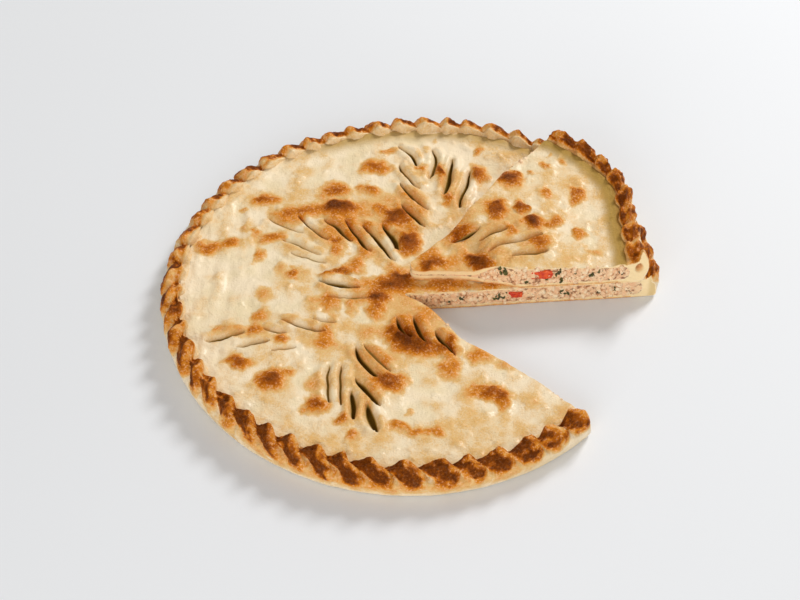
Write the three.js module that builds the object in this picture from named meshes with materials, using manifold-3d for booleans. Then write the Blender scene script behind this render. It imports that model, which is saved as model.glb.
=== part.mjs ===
// A round, flat meat-filled pie with a twisted rope edge and vent slits in its lid.
// One wedge is cut out and lies on top of the pie. Millimetres, +Z up.
// The dough is two sheets, a bottom crust that turns up into the rope edge and a lid tucked under it,
// with the filling between them. The wedge has the same three layers.

import * as THREE from "three";
import { mergeVertices } from "three/addons/utils/BufferGeometryUtils.js";
import Module from "manifold-3d";

const wasm = await Module();
wasm.setup();

// ---- Driving dimensions ------------------------------------------------------------------------

const RIM_RADIUS = 159.3;        // mean radius of the pie at its side
const OUT_OF_ROUND = [           // the hand-made outline: [lobes per turn, height, heading in degrees]
  [1, 1.5, 155],
  [2, 2.8, 60],
  [3, 1.6, 40],
];
const LID_TOP = 14.7;            // top of the lid above the ground
const LID_THICK = 2.5;
const BASE_THICK = 2.6;
const ROPE_TOP = 22.6;           // crest of the rope edge
const ROPE_WIDTH = 14.5;         // from the side in to the crease where the rope meets the lid
const LID_TUCK = 3.6;            // how far the lid's edge runs on under the rope
const GAP = 0.4;                 // clearance between touching layers
const FLANK_HEIGHT = 4;          // where the rounded foot ends and the side stands upright
const POCKET = 2;                // how far the filling bulges out past the lid's edge
const POCKET_HEIGHT = 7;
const FINEST = 0.06;             // splinters that the cuts leave along an edge, thinner than this, are merged away

const PLEAT_DEPTH = 4.2;         // valley between two pleats
const PLEAT_LEAN = 0.7;          // how far a pleat slants between its crest and its feet, in pleats
const PIE_PLEATS = 56;           // pleats in a full turn
const SLICE_PLEATS = 60;
const STEPS_PER_PLEAT = 4;
const LID_STEPS = 56;            // facets round the lid and filling

const CUT_APEX = [-6, -9.5];     // point of the missing wedge
const UPPER_CUT_HEADING = 4.8;   // direction of the wedge's upper cut, in degrees

const SLICE_TIP = [0, 6];        // the wedge lying on top: its point
const SLICE_RADIUS = 146.5;      // from its point to its side, along the front cut
const SLICE_SWELL = 6;           // how much farther its side is towards the back cut
const SLICE_ROPE_WIDTH = 16;
const SLICE_FLOOR = 15.2;        // height of its underside at y = 0
const SLICE_TILT = 0.048;        // rise of its underside per millimetre of y, onto the rope edge
const SLICE_THIN = 0.62;         // thickness at the point, against the pie's
const SLICE_THICK = 1.15;        // thickness where the filling is fullest

const CREAM = 0xe6d5ac;
const BROWN = 0xc98b45;
const MEAT = 0xd9bda0;
const RED = 0xc8401f;

// ---- Small helpers -----------------------------------------------------------------------------

const radians = (degrees) => degrees * Math.PI / 180;

// 0 below a, 1 above b, smooth between.
const ramp = (a, b, value) => THREE.MathUtils.smoothstep(value, a, b);

// 1 inside the heading range, falling to 0 over `fade` degrees on both sides.
function within(heading, from, to, fade) {
  return ramp(from - fade, from, heading) * (1 - ramp(to, to + fade, heading));
}

// Heading of an angle in degrees, from -180 to 180.
const headingOf = (angle) => THREE.MathUtils.euclideanModulo(THREE.MathUtils.radToDeg(angle) + 180, 360) - 180;

// ---- Solids ------------------------------------------------------------------------------------

// A geometry's closed mesh as a solid.
function solid(geometry) {
  const bare = geometry.clone();
  bare.deleteAttribute("normal");
  bare.deleteAttribute("uv");
  const merged = mergeVertices(bare, 1e-4);
  return new wasm.Manifold(new wasm.Mesh({
    numProp: 3,
    vertProperties: Float32Array.from(merged.attributes.position.array),
    triVerts: Uint32Array.from(merged.index.array),
  }));
}

// A solid's surface as a geometry.
function geometryOf(body) {
  const mesh = body.getMesh();
  const points = new Float32Array(mesh.numVert * 3);
  for (let i = 0; i < mesh.numVert; i += 1) {
    for (let k = 0; k < 3; k += 1) {
      points[3 * i + k] = mesh.vertProperties[mesh.numProp * i + k];
    }
  }
  const geometry = new THREE.BufferGeometry();
  geometry.setAttribute("position", new THREE.BufferAttribute(points, 3));
  geometry.setIndex(new THREE.BufferAttribute(Uint32Array.from(mesh.triVerts), 1));
  geometry.computeVertexNormals();
  return geometry;
}

// The solid that a section sweeps round the Z axis. section(angle) gives [radius, height] points
// from the underside's middle, out, up and back to the top's middle; place(x, y, z) moves each point.
function sweep(section, steps, place) {
  const points = [];
  const triangles = [];
  const rows = section(0).length;
  for (let step = 0; step < steps; step += 1) {
    const angle = 2 * Math.PI * step / steps;
    for (const [radius, height] of section(angle)) {
      points.push(...place(radius * Math.cos(angle), radius * Math.sin(angle), height));
    }
  }
  for (let step = 0; step < steps; step += 1) {
    const here = step * rows;
    const next = ((step + 1) % steps) * rows;
    triangles.push(0, next + 1, here + 1);
    triangles.push(rows - 1, here + rows - 2, next + rows - 2);
    for (let row = 1; row < rows - 2; row += 1) {
      triangles.push(here + row, next + row, next + row + 1);
      triangles.push(here + row, next + row + 1, here + row + 1);
    }
  }
  const geometry = new THREE.BufferGeometry();
  geometry.setAttribute("position", new THREE.Float32BufferAttribute(points, 3));
  geometry.setIndex(triangles);
  return solid(geometry);
}

// An upright prism over a plan outline, from z = low to z = high.
function prism(outline, low, high) {
  const shape = new THREE.Shape(outline.map(([x, y]) => new THREE.Vector2(x, y)));
  const geometry = new THREE.ExtrudeGeometry(shape, { depth: high - low, bevelEnabled: false });
  return solid(geometry.translate(0, 0, low));
}

// ---- The crust's section -----------------------------------------------------------------------

// Height of a pleat across its width, 0 in the valley and 1 on the crest.
function pleatHeight(phase) {
  const across = phase - Math.floor(phase);
  return Math.pow(Math.sin(Math.PI * Math.pow(across, 0.85)), 0.7);
}

// The rope edge's outline: [inset from the side, share of the height up to the crest, depth of the
// pleats there, how much of that depth goes inwards, how much goes down]. The height counts from the
// flank outside the crest and from the lid inside it.
const ROPE = [
  [-0.6, 0.42, 0.7, 0.6, 0.1],
  [0.5, 0.8, 1.0, 0.5, 0.45],
  [4.2, 1.0, 1.0, 0.1, 0.75],
  [9.2, 0.6, 1.0, -0.25, 0.42],
  [12.8, 0.28, 0.7, -0.45, 0.12],
];
const ROPE_CREST_ROW = 2;

// A crust is an outline with a rope on it: side(angle) is its radius, crease(angle) the rope's width,
// crest(angle) the rope's top, and the pleats are spaced round it.
function baseSection(crust, angle) {
  const side = crust.side(angle);
  const width = crust.ropeWidth(angle);
  const crest = crust.crest(angle);
  const points = [
    [0, 0],
    [side - 5, 0],
    [side - 0.8, FLANK_HEIGHT],
  ];
  ROPE.forEach(([inset, share, depth, inwards, down], row) => {
    const slant = PLEAT_LEAN * Math.abs(row - ROPE_CREST_ROW) / ROPE_CREST_ROW;
    const valley = 1 - pleatHeight(crust.pleats * angle / (2 * Math.PI) + crust.phase - slant);
    const cut = PLEAT_DEPTH * depth * valley;
    const foot = row > ROPE_CREST_ROW ? LID_TOP + GAP : FLANK_HEIGHT;
    points.push([
      side - inset * width / ROPE_WIDTH - cut * inwards,
      foot + (crest - foot) * share - cut * down,
    ]);
  });
  const edge = lidEdge(crust, angle);
  points.push(
    [side - width, LID_TOP + GAP],
    [edge + GAP, LID_TOP + GAP],
    [edge + GAP, LID_TOP - LID_THICK - GAP],
    [edge + POCKET, POCKET_HEIGHT],
    [edge, BASE_THICK],
    ...inwards(crust.rings).map((radius) => [radius, BASE_THICK]),
    [0, BASE_THICK],
  );
  return points;
}

// Radius of the lid's edge, which is tucked under the rope.
const lidEdge = (crust, angle) => crust.side(angle) - ROPE_WIDTH + LID_TUCK;

// Every layer bends at the same radii, listed outwards; a section comes back along them.
const inwards = (rings) => rings.slice().reverse();

function lidSection(crust, angle) {
  const edge = lidEdge(crust, angle);
  const low = LID_TOP - LID_THICK;
  return [
    [0, low],
    ...crust.rings.map((radius) => [radius, low]),
    [edge, low],
    [edge, LID_TOP],
    ...inwards(crust.rings).map((radius) => [radius, LID_TOP]),
    [0, LID_TOP],
  ];
}

function fillingSection(crust, angle) {
  const edge = lidEdge(crust, angle);
  const low = BASE_THICK + GAP;
  const high = LID_TOP - LID_THICK - GAP;
  return [
    [0, low],
    ...crust.rings.map((radius) => [radius, low]),
    [edge - GAP, low],
    [edge + POCKET - GAP, POCKET_HEIGHT],
    [edge - GAP, high - GAP],
    ...inwards(crust.rings).map((radius) => [radius, high]),
    [0, high],
  ];
}

function layers(crust, place) {
  return {
    base: sweep((angle) => baseSection(crust, angle), crust.pleats * STEPS_PER_PLEAT, place),
    filling: sweep((angle) => fillingSection(crust, angle), LID_STEPS, place),
    lid: sweep((angle) => lidSection(crust, angle), LID_STEPS, place),
  };
}

// ---- The pie -----------------------------------------------------------------------------------

function pieSide(angle) {
  return OUT_OF_ROUND.reduce(
    (radius, [lobes, height, heading]) => radius + height * Math.cos(lobes * (angle - radians(heading))),
    RIM_RADIUS,
  );
}

const pieCrust = {
  pleats: PIE_PLEATS,
  phase: 0.1,
  rings: [125],
  side: pieSide,
  // The rope is narrower beside the slice and pressed lower under it.
  ropeWidth: (angle) => ROPE_WIDTH - 2.6 * within(headingOf(angle), -8, 14, 10),
  crest: (angle) => ROPE_TOP - 2.6 * within(headingOf(angle), 20, 44, 10),
};

// Plan outline of the missing wedge; its lower cut is a little wavy.
const upperCutEnd = [
  CUT_APEX[0] + 190 * Math.cos(radians(UPPER_CUT_HEADING)),
  CUT_APEX[1] + 190 * Math.sin(radians(UPPER_CUT_HEADING)),
];
const missingWedge = prism([
  CUT_APEX,
  [6, -20],
  [22, -38],
  [28, -50],
  [42, -57],
  [60, -71],
  [76, -85],
  [92, -101],
  [130, -138],
  [190, -138],
  upperCutEnd,
], -10, 60);

// ---- The slice on top --------------------------------------------------------------------------

const sliceCrust = {
  pleats: SLICE_PLEATS,
  phase: 0.2,
  rings: [36, 46, 56, 80, 102, 125],
  side: (angle) => SLICE_RADIUS + SLICE_SWELL * within(headingOf(angle), 30, 60, 24),
  ropeWidth: () => SLICE_ROPE_WIDTH,
  crest: () => ROPE_TOP,
};

// Thickness of the slice against the pie's, from its flat point out to its rope.
function sliceThickness(distance) {
  return SLICE_THIN
    + (SLICE_THICK - SLICE_THIN) * ramp(36, 56, distance)
    - (SLICE_THICK - 1) * ramp(80, 125, distance);
}

function placeSlice(x, y, z) {
  const world = [SLICE_TIP[0] + x, SLICE_TIP[1] + y];
  return [
    ...world,
    SLICE_FLOOR + SLICE_TILT * world[1] + z * sliceThickness(Math.hypot(x, y)),
  ];
}

// A smooth line through [x, y] places, as evenly spaced points.
function smoothLine(places, count) {
  const curve = new THREE.SplineCurve(places.map(([x, y]) => new THREE.Vector2(x, y)));
  return curve.getPoints(count).map((point) => [point.x, point.y]);
}

// Plan outline of the slice: both cuts bend gently.
const frontCut = smoothLine([[1, 3.4], [30, 2.8], [50, -0.5], [68, -3.6], [95, -1.8], [125, 0.4], [170, 4]], 18);
const backCut = smoothLine([[-1, 12.5], [14, 27], [30, 42], [48, 66], [64, 88], [92, 118], [130, 158]], 12);
const sliceWedge = prism([...frontCut, [200, 60], ...backCut.reverse()], 5, 60);

// ---- Vent slits --------------------------------------------------------------------------------

// Slits are scored in fans, like ears of wheat: [start x, y, end x, y, sideways bow, width].
const PIE_SLITS = [
  [-9, 133, 3, 113, 2, 3],
  [-9, 114, 4, 91, -1, 2.4],
  [-9, 94, 8, 70, -1, 3],
  [-8, 74, 6, 53, 0, 3],
  [13, 129, 11, 100, 2, 2.4],
  [27, 120, 20, 83, 0.6, 3.4],
  [38, 107, 29, 70, 0, 2.2],
  [-76, 62, -56, 40, 0, 2.2],
  [-58, 60, -41, 39, 0, 2.6],
  [-46, 57, -29, 30, 0, 3],
  [-34, 55, -13, 21, 0, 3],
  [-21, 54, -9, 32, 0, 4],
  [-60, 2, -36, -4, 0, 3],
  [-82, -32, -57, -42, -1.4, 2.4],
  [-129, -49, -106, -42, 0, 3],
  [-110, -55, -90, -49, 0, 3],
  [-52, -70, -53, -100, -1.5, 2],
  [-45, -70, -46, -102, -1, 2],
  [-36, -55, -20, -82, -3, 4],
  [-31, -54, -16, -74, -1.4, 3],
  [-37, -80, -22, -103, 0.9, 4.4],
  [-39.5, -90, -36, -114, 0, 4],
  [-29, -102, -24, -123, -0.5, 4.4],
  [-11, -32, 0, -48, -1.8, 3.2],
  [-1, -29, 8, -49, -1.5, 3.2],
  [9, -33, 20, -53, -0.4, 3],
];
const SLICE_SLITS = [
  [23, 27, 40, 33, 0, 2.4],
  [42, 25, 59, 32, 0, 2.4],
  [48, 14, 82, 25, 0.5, 2],
  [62, 7, 84, 11.5, -0.5, 2.2],
];

// A lens-shaped prism through the lid along one slit.
function slitCutter([startX, startY, endX, endY, bow, width]) {
  const along = new THREE.Vector2(endX - startX, endY - startY);
  const left = new THREE.Vector2(-along.y, along.x).normalize();
  const outline = [];
  const edge = (share, side) => {
    const arch = 4 * share * (1 - share);
    const offset = bow * arch + side * width / 2 * Math.sqrt(arch);
    outline.push([startX + share * along.x + offset * left.x, startY + share * along.y + offset * left.y]);
  };
  edge(0, 0);
  edge(0.3, -1);
  edge(0.7, -1);
  edge(1, 0);
  edge(0.7, 1);
  edge(0.3, 1);
  return prism(outline, 5, 60);
}

function cutSlits(lid, slits) {
  return slits.reduce((body, slit) => body.subtract(slitCutter(slit)), lid);
}

// ---- Tomato pieces in the cut faces ------------------------------------------------------------

// A blunt cube of tomato; grow widens it for the pocket it sits in.
function tomatoBlock(centre, size, grow) {
  const ball = new THREE.IcosahedronGeometry(1, 1);
  const position = ball.attributes.position;
  for (let i = 0; i < position.count; i += 1) {
    const point = new THREE.Vector3().fromBufferAttribute(position, i);
    const longest = Math.max(Math.abs(point.x), Math.abs(point.y), Math.abs(point.z));
    point.multiplyScalar(THREE.MathUtils.lerp(1, 1 / longest, 0.55));
    position.setXYZ(
      i,
      centre[0] + point.x * (size[0] / 2 + grow),
      centre[1] + point.y * (size[1] / 2 + grow),
      centre[2] + point.z * (size[2] / 2 + grow),
    );
  }
  return solid(ball);
}

// ---- Assembly ----------------------------------------------------------------------------------

const pie = layers(pieCrust, (x, y, z) => [x, y, z]);
const slice = layers(sliceCrust, placeSlice);

const pieTomato = { centre: [64, -0.5, 8.6], size: [9.5, 11, 4.6] };
const sliceTomato = { centre: [81, 1.5, 25.6], size: [12, 13, 6.4] };
const outsideSlice = prism([[-40, -60], [220, -60], [220, 200], [-40, 200]], -10, 80).subtract(sliceWedge);

const bodies = {
  bottom_crust: [pie.base.subtract(missingWedge), BROWN],
  filling: [
    pie.filling.subtract(missingWedge).subtract(tomatoBlock(pieTomato.centre, pieTomato.size, GAP)),
    MEAT,
  ],
  top_crust: [cutSlits(pie.lid.subtract(missingWedge), PIE_SLITS), CREAM],
  tomato_piece: [tomatoBlock(pieTomato.centre, pieTomato.size, 0).subtract(missingWedge), RED],
  slice_bottom_crust: [slice.base.intersect(sliceWedge), BROWN],
  slice_filling: [
    slice.filling.intersect(sliceWedge).subtract(tomatoBlock(sliceTomato.centre, sliceTomato.size, GAP)),
    MEAT,
  ],
  slice_top_crust: [cutSlits(slice.lid.intersect(sliceWedge), SLICE_SLITS), CREAM],
  slice_tomato_piece: [
    tomatoBlock(sliceTomato.centre, sliceTomato.size, 0).subtract(outsideSlice),
    RED,
  ],
};

// The pieces share one frame; the whole is then moved so that the origin is under its middle.
const whole = new THREE.Group();
for (const [name, [body, color]] of Object.entries(bodies)) {
  const material = new THREE.MeshStandardMaterial({ color, roughness: 0.6, metalness: 0 });
  const mesh = new THREE.Mesh(geometryOf(body.simplify(FINEST)), material);
  mesh.name = name;
  whole.add(mesh);
}
const middle = new THREE.Box3().setFromObject(whole).getCenter(new THREE.Vector3());
whole.position.set(-middle.x, -middle.y, 0);

const part = new THREE.Group();
part.add(whole);

export default part;
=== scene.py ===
"""An ossetian pie: a flat round meat pie with a twisted rope edge and slits fanned over its lid.

One slice is cut out and lies on top of the pie. The classes work in millimetres round the pie's own
middle, and a mesh is moved to the model's frame and scaled to metres as it is built.
"""

import logging
import math
from dataclasses import dataclass, field
from enum import Enum
from typing import Callable

import bmesh
import bpy
import numpy as np
from bpy.types import ColorRamp, Material, Mesh, Node, NodeSocket, NodeTree, Object
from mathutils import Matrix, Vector
from mathutils.geometry import delaunay_2d_cdt
from mathutils.kdtree import KDTree


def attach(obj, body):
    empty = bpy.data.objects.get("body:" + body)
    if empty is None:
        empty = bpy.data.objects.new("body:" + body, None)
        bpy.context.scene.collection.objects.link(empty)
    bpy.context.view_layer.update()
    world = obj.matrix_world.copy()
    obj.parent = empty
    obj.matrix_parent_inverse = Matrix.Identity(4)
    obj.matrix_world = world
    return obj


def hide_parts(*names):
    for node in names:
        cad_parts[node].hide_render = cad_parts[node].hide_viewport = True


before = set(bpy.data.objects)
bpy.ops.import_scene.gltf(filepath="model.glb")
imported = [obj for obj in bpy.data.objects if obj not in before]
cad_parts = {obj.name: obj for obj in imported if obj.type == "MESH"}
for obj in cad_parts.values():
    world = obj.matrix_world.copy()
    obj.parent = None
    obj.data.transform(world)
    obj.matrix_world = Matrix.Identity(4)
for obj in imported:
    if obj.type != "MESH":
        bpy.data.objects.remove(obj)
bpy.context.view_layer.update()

log = logging.getLogger("pie")

Points = np.ndarray
Heights = Callable[[Points], Points]
Colour = tuple[float, float, float]

MM = 0.001
PIE_MIDDLE = np.array([2.13, 0.752, 0.0])  # the pie's middle in the model's frame
REACH = 166.0  # half the side of a square that covers the pie
BASE_INSET = 17.0  # the bottom sheet is flat up to this far inside the side; the rope goes on
SHAKE = 0.16  # how far a grid's points stray, against their spacing
BODY = "root"


# ---- Numbers ----


def ramp(low: float, high: float, value: Points) -> Points:
    """0 before low, 1 past high and smooth between; with high below low it falls."""
    share = np.clip((np.asarray(value, float) - low) / (high - low), 0, 1)
    return share * share * (3 - 2 * share)


def within(value: Points, start: float, stop: float, fade: float) -> Points:
    """1 from start to stop, and falling to 0 over fade on both sides."""
    return ramp(start - fade, start, value) * ramp(stop + fade, stop, value)


def heading_of(angle: Points) -> Points:
    """An angle in radians as a heading from -180 to 180 degrees."""
    return (np.degrees(angle) + 180) % 360 - 180


def mix(low: Points, high: Points, share: Points) -> Points:
    """The value a share of the way from low to high."""
    return low + (high - low) * share


def smooth_line(places: list, steps: int = 24) -> Points:
    """A smooth curve through places.

    Args:
        places: the points that it passes.
        steps: points between two places.

    Returns:
        The curve's points.
    """
    p = np.asarray(places, float)
    p = np.vstack([2 * p[0] - p[1], p, 2 * p[-1] - p[-2]])
    t = np.linspace(0, 1, steps, endpoint=False)[:, None]
    curve = []
    for a, b, c, d in zip(p, p[1:], p[2:], p[3:]):
        bend = (2 * a - 5 * b + 4 * c - d) * t**2
        twist = (3 * b - a - 3 * c + d) * t**3
        curve.append(0.5 * (2 * b + (c - a) * t + bend + twist))
    return np.vstack([*curve, p[-2:-1]])


def evenly(path: Points, step: float) -> Points:
    """Spreads a path's points evenly.

    Args:
        path: its points.
        step: about how far apart they end up.

    Returns:
        The new points.
    """
    reach = reach_along(path)
    stops = np.linspace(0, reach[-1], max(2, round(reach[-1] / step) + 1))
    return np.column_stack([np.interp(stops, reach, path[:, k]) for k in range(path.shape[1])])


def right_of(path: Points) -> Points:
    """Finds the directions to the right of a plan path.

    Args:
        path: its points.

    Returns:
        A unit direction for each point.
    """
    along = np.gradient(path, axis=0)
    along /= np.linalg.norm(along, axis=1)[:, None] + 1e-12
    return np.column_stack([along[:, 1], -along[:, 0]])


def nearest(path: Points, points: Points) -> tuple[Points, Points]:
    """Finds the nearest point of a path to each point, in plan.

    Args:
        path: the points to choose from.
        points: the points to look up.

    Returns:
        The number of each one's nearest point, and how far away that is.
    """
    tree = KDTree(len(path))
    for i, (x, y) in enumerate(path[:, :2]):
        tree.insert((x, y, 0), i)
    tree.balance()
    found = [tree.find((x, y, 0)) for x, y in points[:, :2]]
    return np.array([number for _, number, _ in found]), np.array([gap for _, _, gap in found])


def distance_to(path: Points, points: Points) -> Points:
    """How far each point is from the nearest point of a path, in plan."""
    return nearest(path, points)[1]


def inside(outline: Points, points: Points) -> Points:
    """Tells which points lie inside a closed plan outline.

    Args:
        outline: its corners.
        points: the points to test.

    Returns:
        True or False for each point.
    """
    x, y = points[:, 0], points[:, 1]
    odd = np.zeros(len(points), bool)
    for (ax, ay), (bx, by) in zip(outline, np.roll(outline, -1, axis=0)):
        crosses = (ay > y) != (by > y)
        odd[crosses] ^= x[crosses] < (bx - ax) * (y[crosses] - ay) / (by - ay) + ax
    return odd


def honeycomb(spacing: float, reach: float, seed: int) -> Points:
    """Slightly shaken points of a triangular grid that covers a square round the origin.

    Args:
        spacing: distance between neighbours.
        reach: half the square's side.
        seed: for the shaking.

    Returns:
        The plan points.
    """
    rows = np.arange(-reach, reach, spacing * math.sqrt(0.75))
    columns = np.arange(-reach, reach, spacing)
    x, y = np.meshgrid(columns, rows)
    x = x + np.where(np.arange(len(rows)) % 2, spacing / 2, 0)[:, None]
    points = np.column_stack([x.ravel(), y.ravel()])
    return points + np.random.default_rng(seed).uniform(-SHAKE, SHAKE, points.shape) * spacing


def area(ring: Points) -> float:
    """Area of a closed outline, above 0 if it runs anticlockwise."""
    x, y = ring.T
    return float(np.sum(x * np.roll(y, -1) - np.roll(x, -1) * y) / 2)


def reach_along(path: Points) -> Points:
    """How far along a path each of its points is."""
    return np.r_[0, np.cumsum(np.linalg.norm(np.diff(path, axis=0), axis=1))]


@dataclass(frozen=True)
class Grain:
    """Smooth noise, the same on every run.

    Attributes:
        seed: picks the pattern.
    """

    seed: int

    STRIDES = np.array([73856093, 19349663, 83492791])  # these scramble whole numbers
    LAYER_TURN = (0.6, 1.1)  # layers that are turned against each other hide the grid

    def _corner(self, cell: Points) -> Points:
        """Draws the noise at whole-numbered places.

        Args:
            cell: the places.

        Returns:
            A value from -1 to 1 for each.
        """
        mixed = cell @ self.STRIDES + self.seed * 1013904223
        mixed = (mixed ^ (mixed >> 15)) * 2246822519 & 0xFFFFFFFF
        mixed = (mixed ^ (mixed >> 13)) * 3266489917 & 0xFFFFFFFF
        return (mixed ^ (mixed >> 16)) / 0x7FFFFFFF - 1

    def at(self, points: Points, size: float) -> Points:
        """Noise whose lumps are all of one size.

        Args:
            points: plan or space points.
            size: width of a lump.

        Returns:
            A value from about -1 to 1 for each point.
        """
        place = np.zeros((len(points), 3))
        place[:, : points.shape[1]] = points
        place = place / size + 1037.7
        cell = np.floor(place).astype(np.int64)
        t = place - cell
        t = t * t * t * (t * (t * 6 - 15) + 10)
        total = np.zeros(len(points))
        for corner in range(8):
            step = np.array([corner & 1, corner >> 1 & 1, corner >> 2 & 1])
            total += np.prod(np.where(step, t, 1 - t), axis=1) * self._corner(cell + step)
        return total

    def layered(self, points: Points, size: float, layers: int = 3) -> Points:
        """Noise with finer and weaker noise on top of it.

        Args:
            points: plan or space points.
            size: width of the largest lumps.
            layers: how many sizes there are, each half as wide as the one before.

        Returns:
            A value from about -1 to 1 for each point.
        """
        total = np.zeros(len(points))
        for layer in range(layers):
            turn = self.LAYER_TURN[0] + self.LAYER_TURN[1] * layer
            x, y = points[:, 0], points[:, 1]
            turned = points.astype(float)
            turned[:, 0] = x * math.cos(turn) - y * math.sin(turn)
            turned[:, 1] = x * math.sin(turn) + y * math.cos(turn)
            total += Grain(self.seed + layer).at(turned, size / 2**layer) / 2**layer
        return total / 1.3


# ---- Meshes ----


def triangulated(loop: Points, inner: Points) -> tuple[Points, Points]:
    """Fills a closed plan outline with triangles.

    Args:
        loop: the outline, anticlockwise.
        inner: points inside it.

    Returns:
        The points, and the triangles as rows of three point numbers.
    """
    places = [Vector(p) for p in np.vstack([loop, inner])]
    made = delaunay_2d_cdt(places, [], [list(range(len(loop)))], 1, 1e-7, True)
    filled = [face for face, parents in zip(made[2], made[5]) if parents]
    return np.array([tuple(p) for p in made[0]]), np.array(filled)


def grid_faces(columns: int, rows: int) -> Points:
    """Four-sided faces of a grid whose points run row by row within each column."""
    start = (np.arange(columns - 1)[:, None] * rows + np.arange(rows - 1)).ravel()
    return np.column_stack([start, start + rows, start + rows + 1, start + 1])


def stood(mesh: Mesh) -> Object:
    """Puts a mesh into the scene.

    Args:
        mesh: the mesh.

    Returns:
        An object of the mesh's own name that holds it.
    """
    made = bpy.data.objects.new(mesh.name, mesh)
    bpy.context.collection.objects.link(made)
    return made


def triangle_count(mesh: Mesh) -> int:
    """How many triangles a mesh's faces come to."""
    return sum(len(face.vertices) - 2 for face in mesh.polygons)


class Shell:
    """A closed surface gathered patch by patch; edges that meet are joined when it is built."""

    MARKS = ("bake", "slit", "crumb")
    DECIMALS = 3  # points that agree to these decimals of a millimetre are one
    WELD = 4e-6  # metres within which points are joined afterwards

    def __init__(self) -> None:
        """Starts with no patches."""
        self.points: list[Points] = []
        self.faces: list[Points] = []
        self.marks: dict[str, list[Points]] = {mark: [] for mark in self.MARKS}
        self.count = 0

    def add(self, points: Points, faces: Points, **marks: Points | float) -> None:
        """Adds a patch.

        Args:
            points: its points in millimetres.
            faces: rows of three or four point numbers.
            **marks: how baked, slit open or freshly cut each point is, from 0 to 1; bake and slit
                     also carry painted highlight and shade.
        """
        if faces.shape[1] == 3:
            faces = np.column_stack([faces, faces[:, 2]])
        self.points.append(points)
        self.faces.append(faces + self.count)
        for mark, values in self.marks.items():
            values.append(np.broadcast_to(marks.get(mark, 0.0), len(points)).astype(float))
        self.count += len(points)

    def build(self, name: str, sharp: float = 55.0) -> Object:
        """Joins the patches to one object.

        Args:
            name: the object's name.
            sharp: angle in degrees past which an edge stays crisp.

        Returns:
            The object, with its place in its mesh.
        """
        points = np.vstack(self.points)
        _, first, inverse = np.unique(
            np.round(points, self.DECIMALS), axis=0, return_index=True, return_inverse=True
        )
        order = np.argsort(first)  # where patches meet, the first one's marks hold
        rank = np.empty_like(order)
        rank[order] = np.arange(len(order))
        kept = first[order]
        corners = rank[inverse.reshape(-1)][np.vstack(self.faces)]
        faces = []
        for face in corners.tolist():
            ring = [v for i, v in enumerate(face) if v != face[i - 1]]
            if len(ring) > 2 and len(set(ring)) == len(ring):
                faces.append(ring)
        mesh = bpy.data.meshes.new(name)
        mesh.from_pydata(((points[kept] + PIE_MIDDLE) * MM).tolist(), [], faces)
        for mark, values in self.marks.items():
            layer = mesh.attributes.new(mark, "FLOAT", "POINT")
            layer.data.foreach_set("value", np.concatenate(values)[kept].astype(np.float32))
        tidy = bmesh.new()
        tidy.from_mesh(mesh)
        loose = [v for v in tidy.verts if not v.link_faces]
        bmesh.ops.delete(tidy, geom=loose, context="VERTS")
        bmesh.ops.remove_doubles(tidy, verts=tidy.verts, dist=self.WELD)
        bmesh.ops.recalc_face_normals(tidy, faces=tidy.faces)
        open_edges = sum(1 for e in tidy.edges if len(e.link_faces) != 2)
        tidy.to_mesh(mesh)
        tidy.free()
        mesh.shade_smooth()
        mesh.set_sharp_from_angle(angle=math.radians(sharp))
        log.info("%s: %d triangles, %d open edges", name, triangle_count(mesh), open_edges)
        return stood(mesh)


# ---- Plans: outline and cuts seen from above ----


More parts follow.
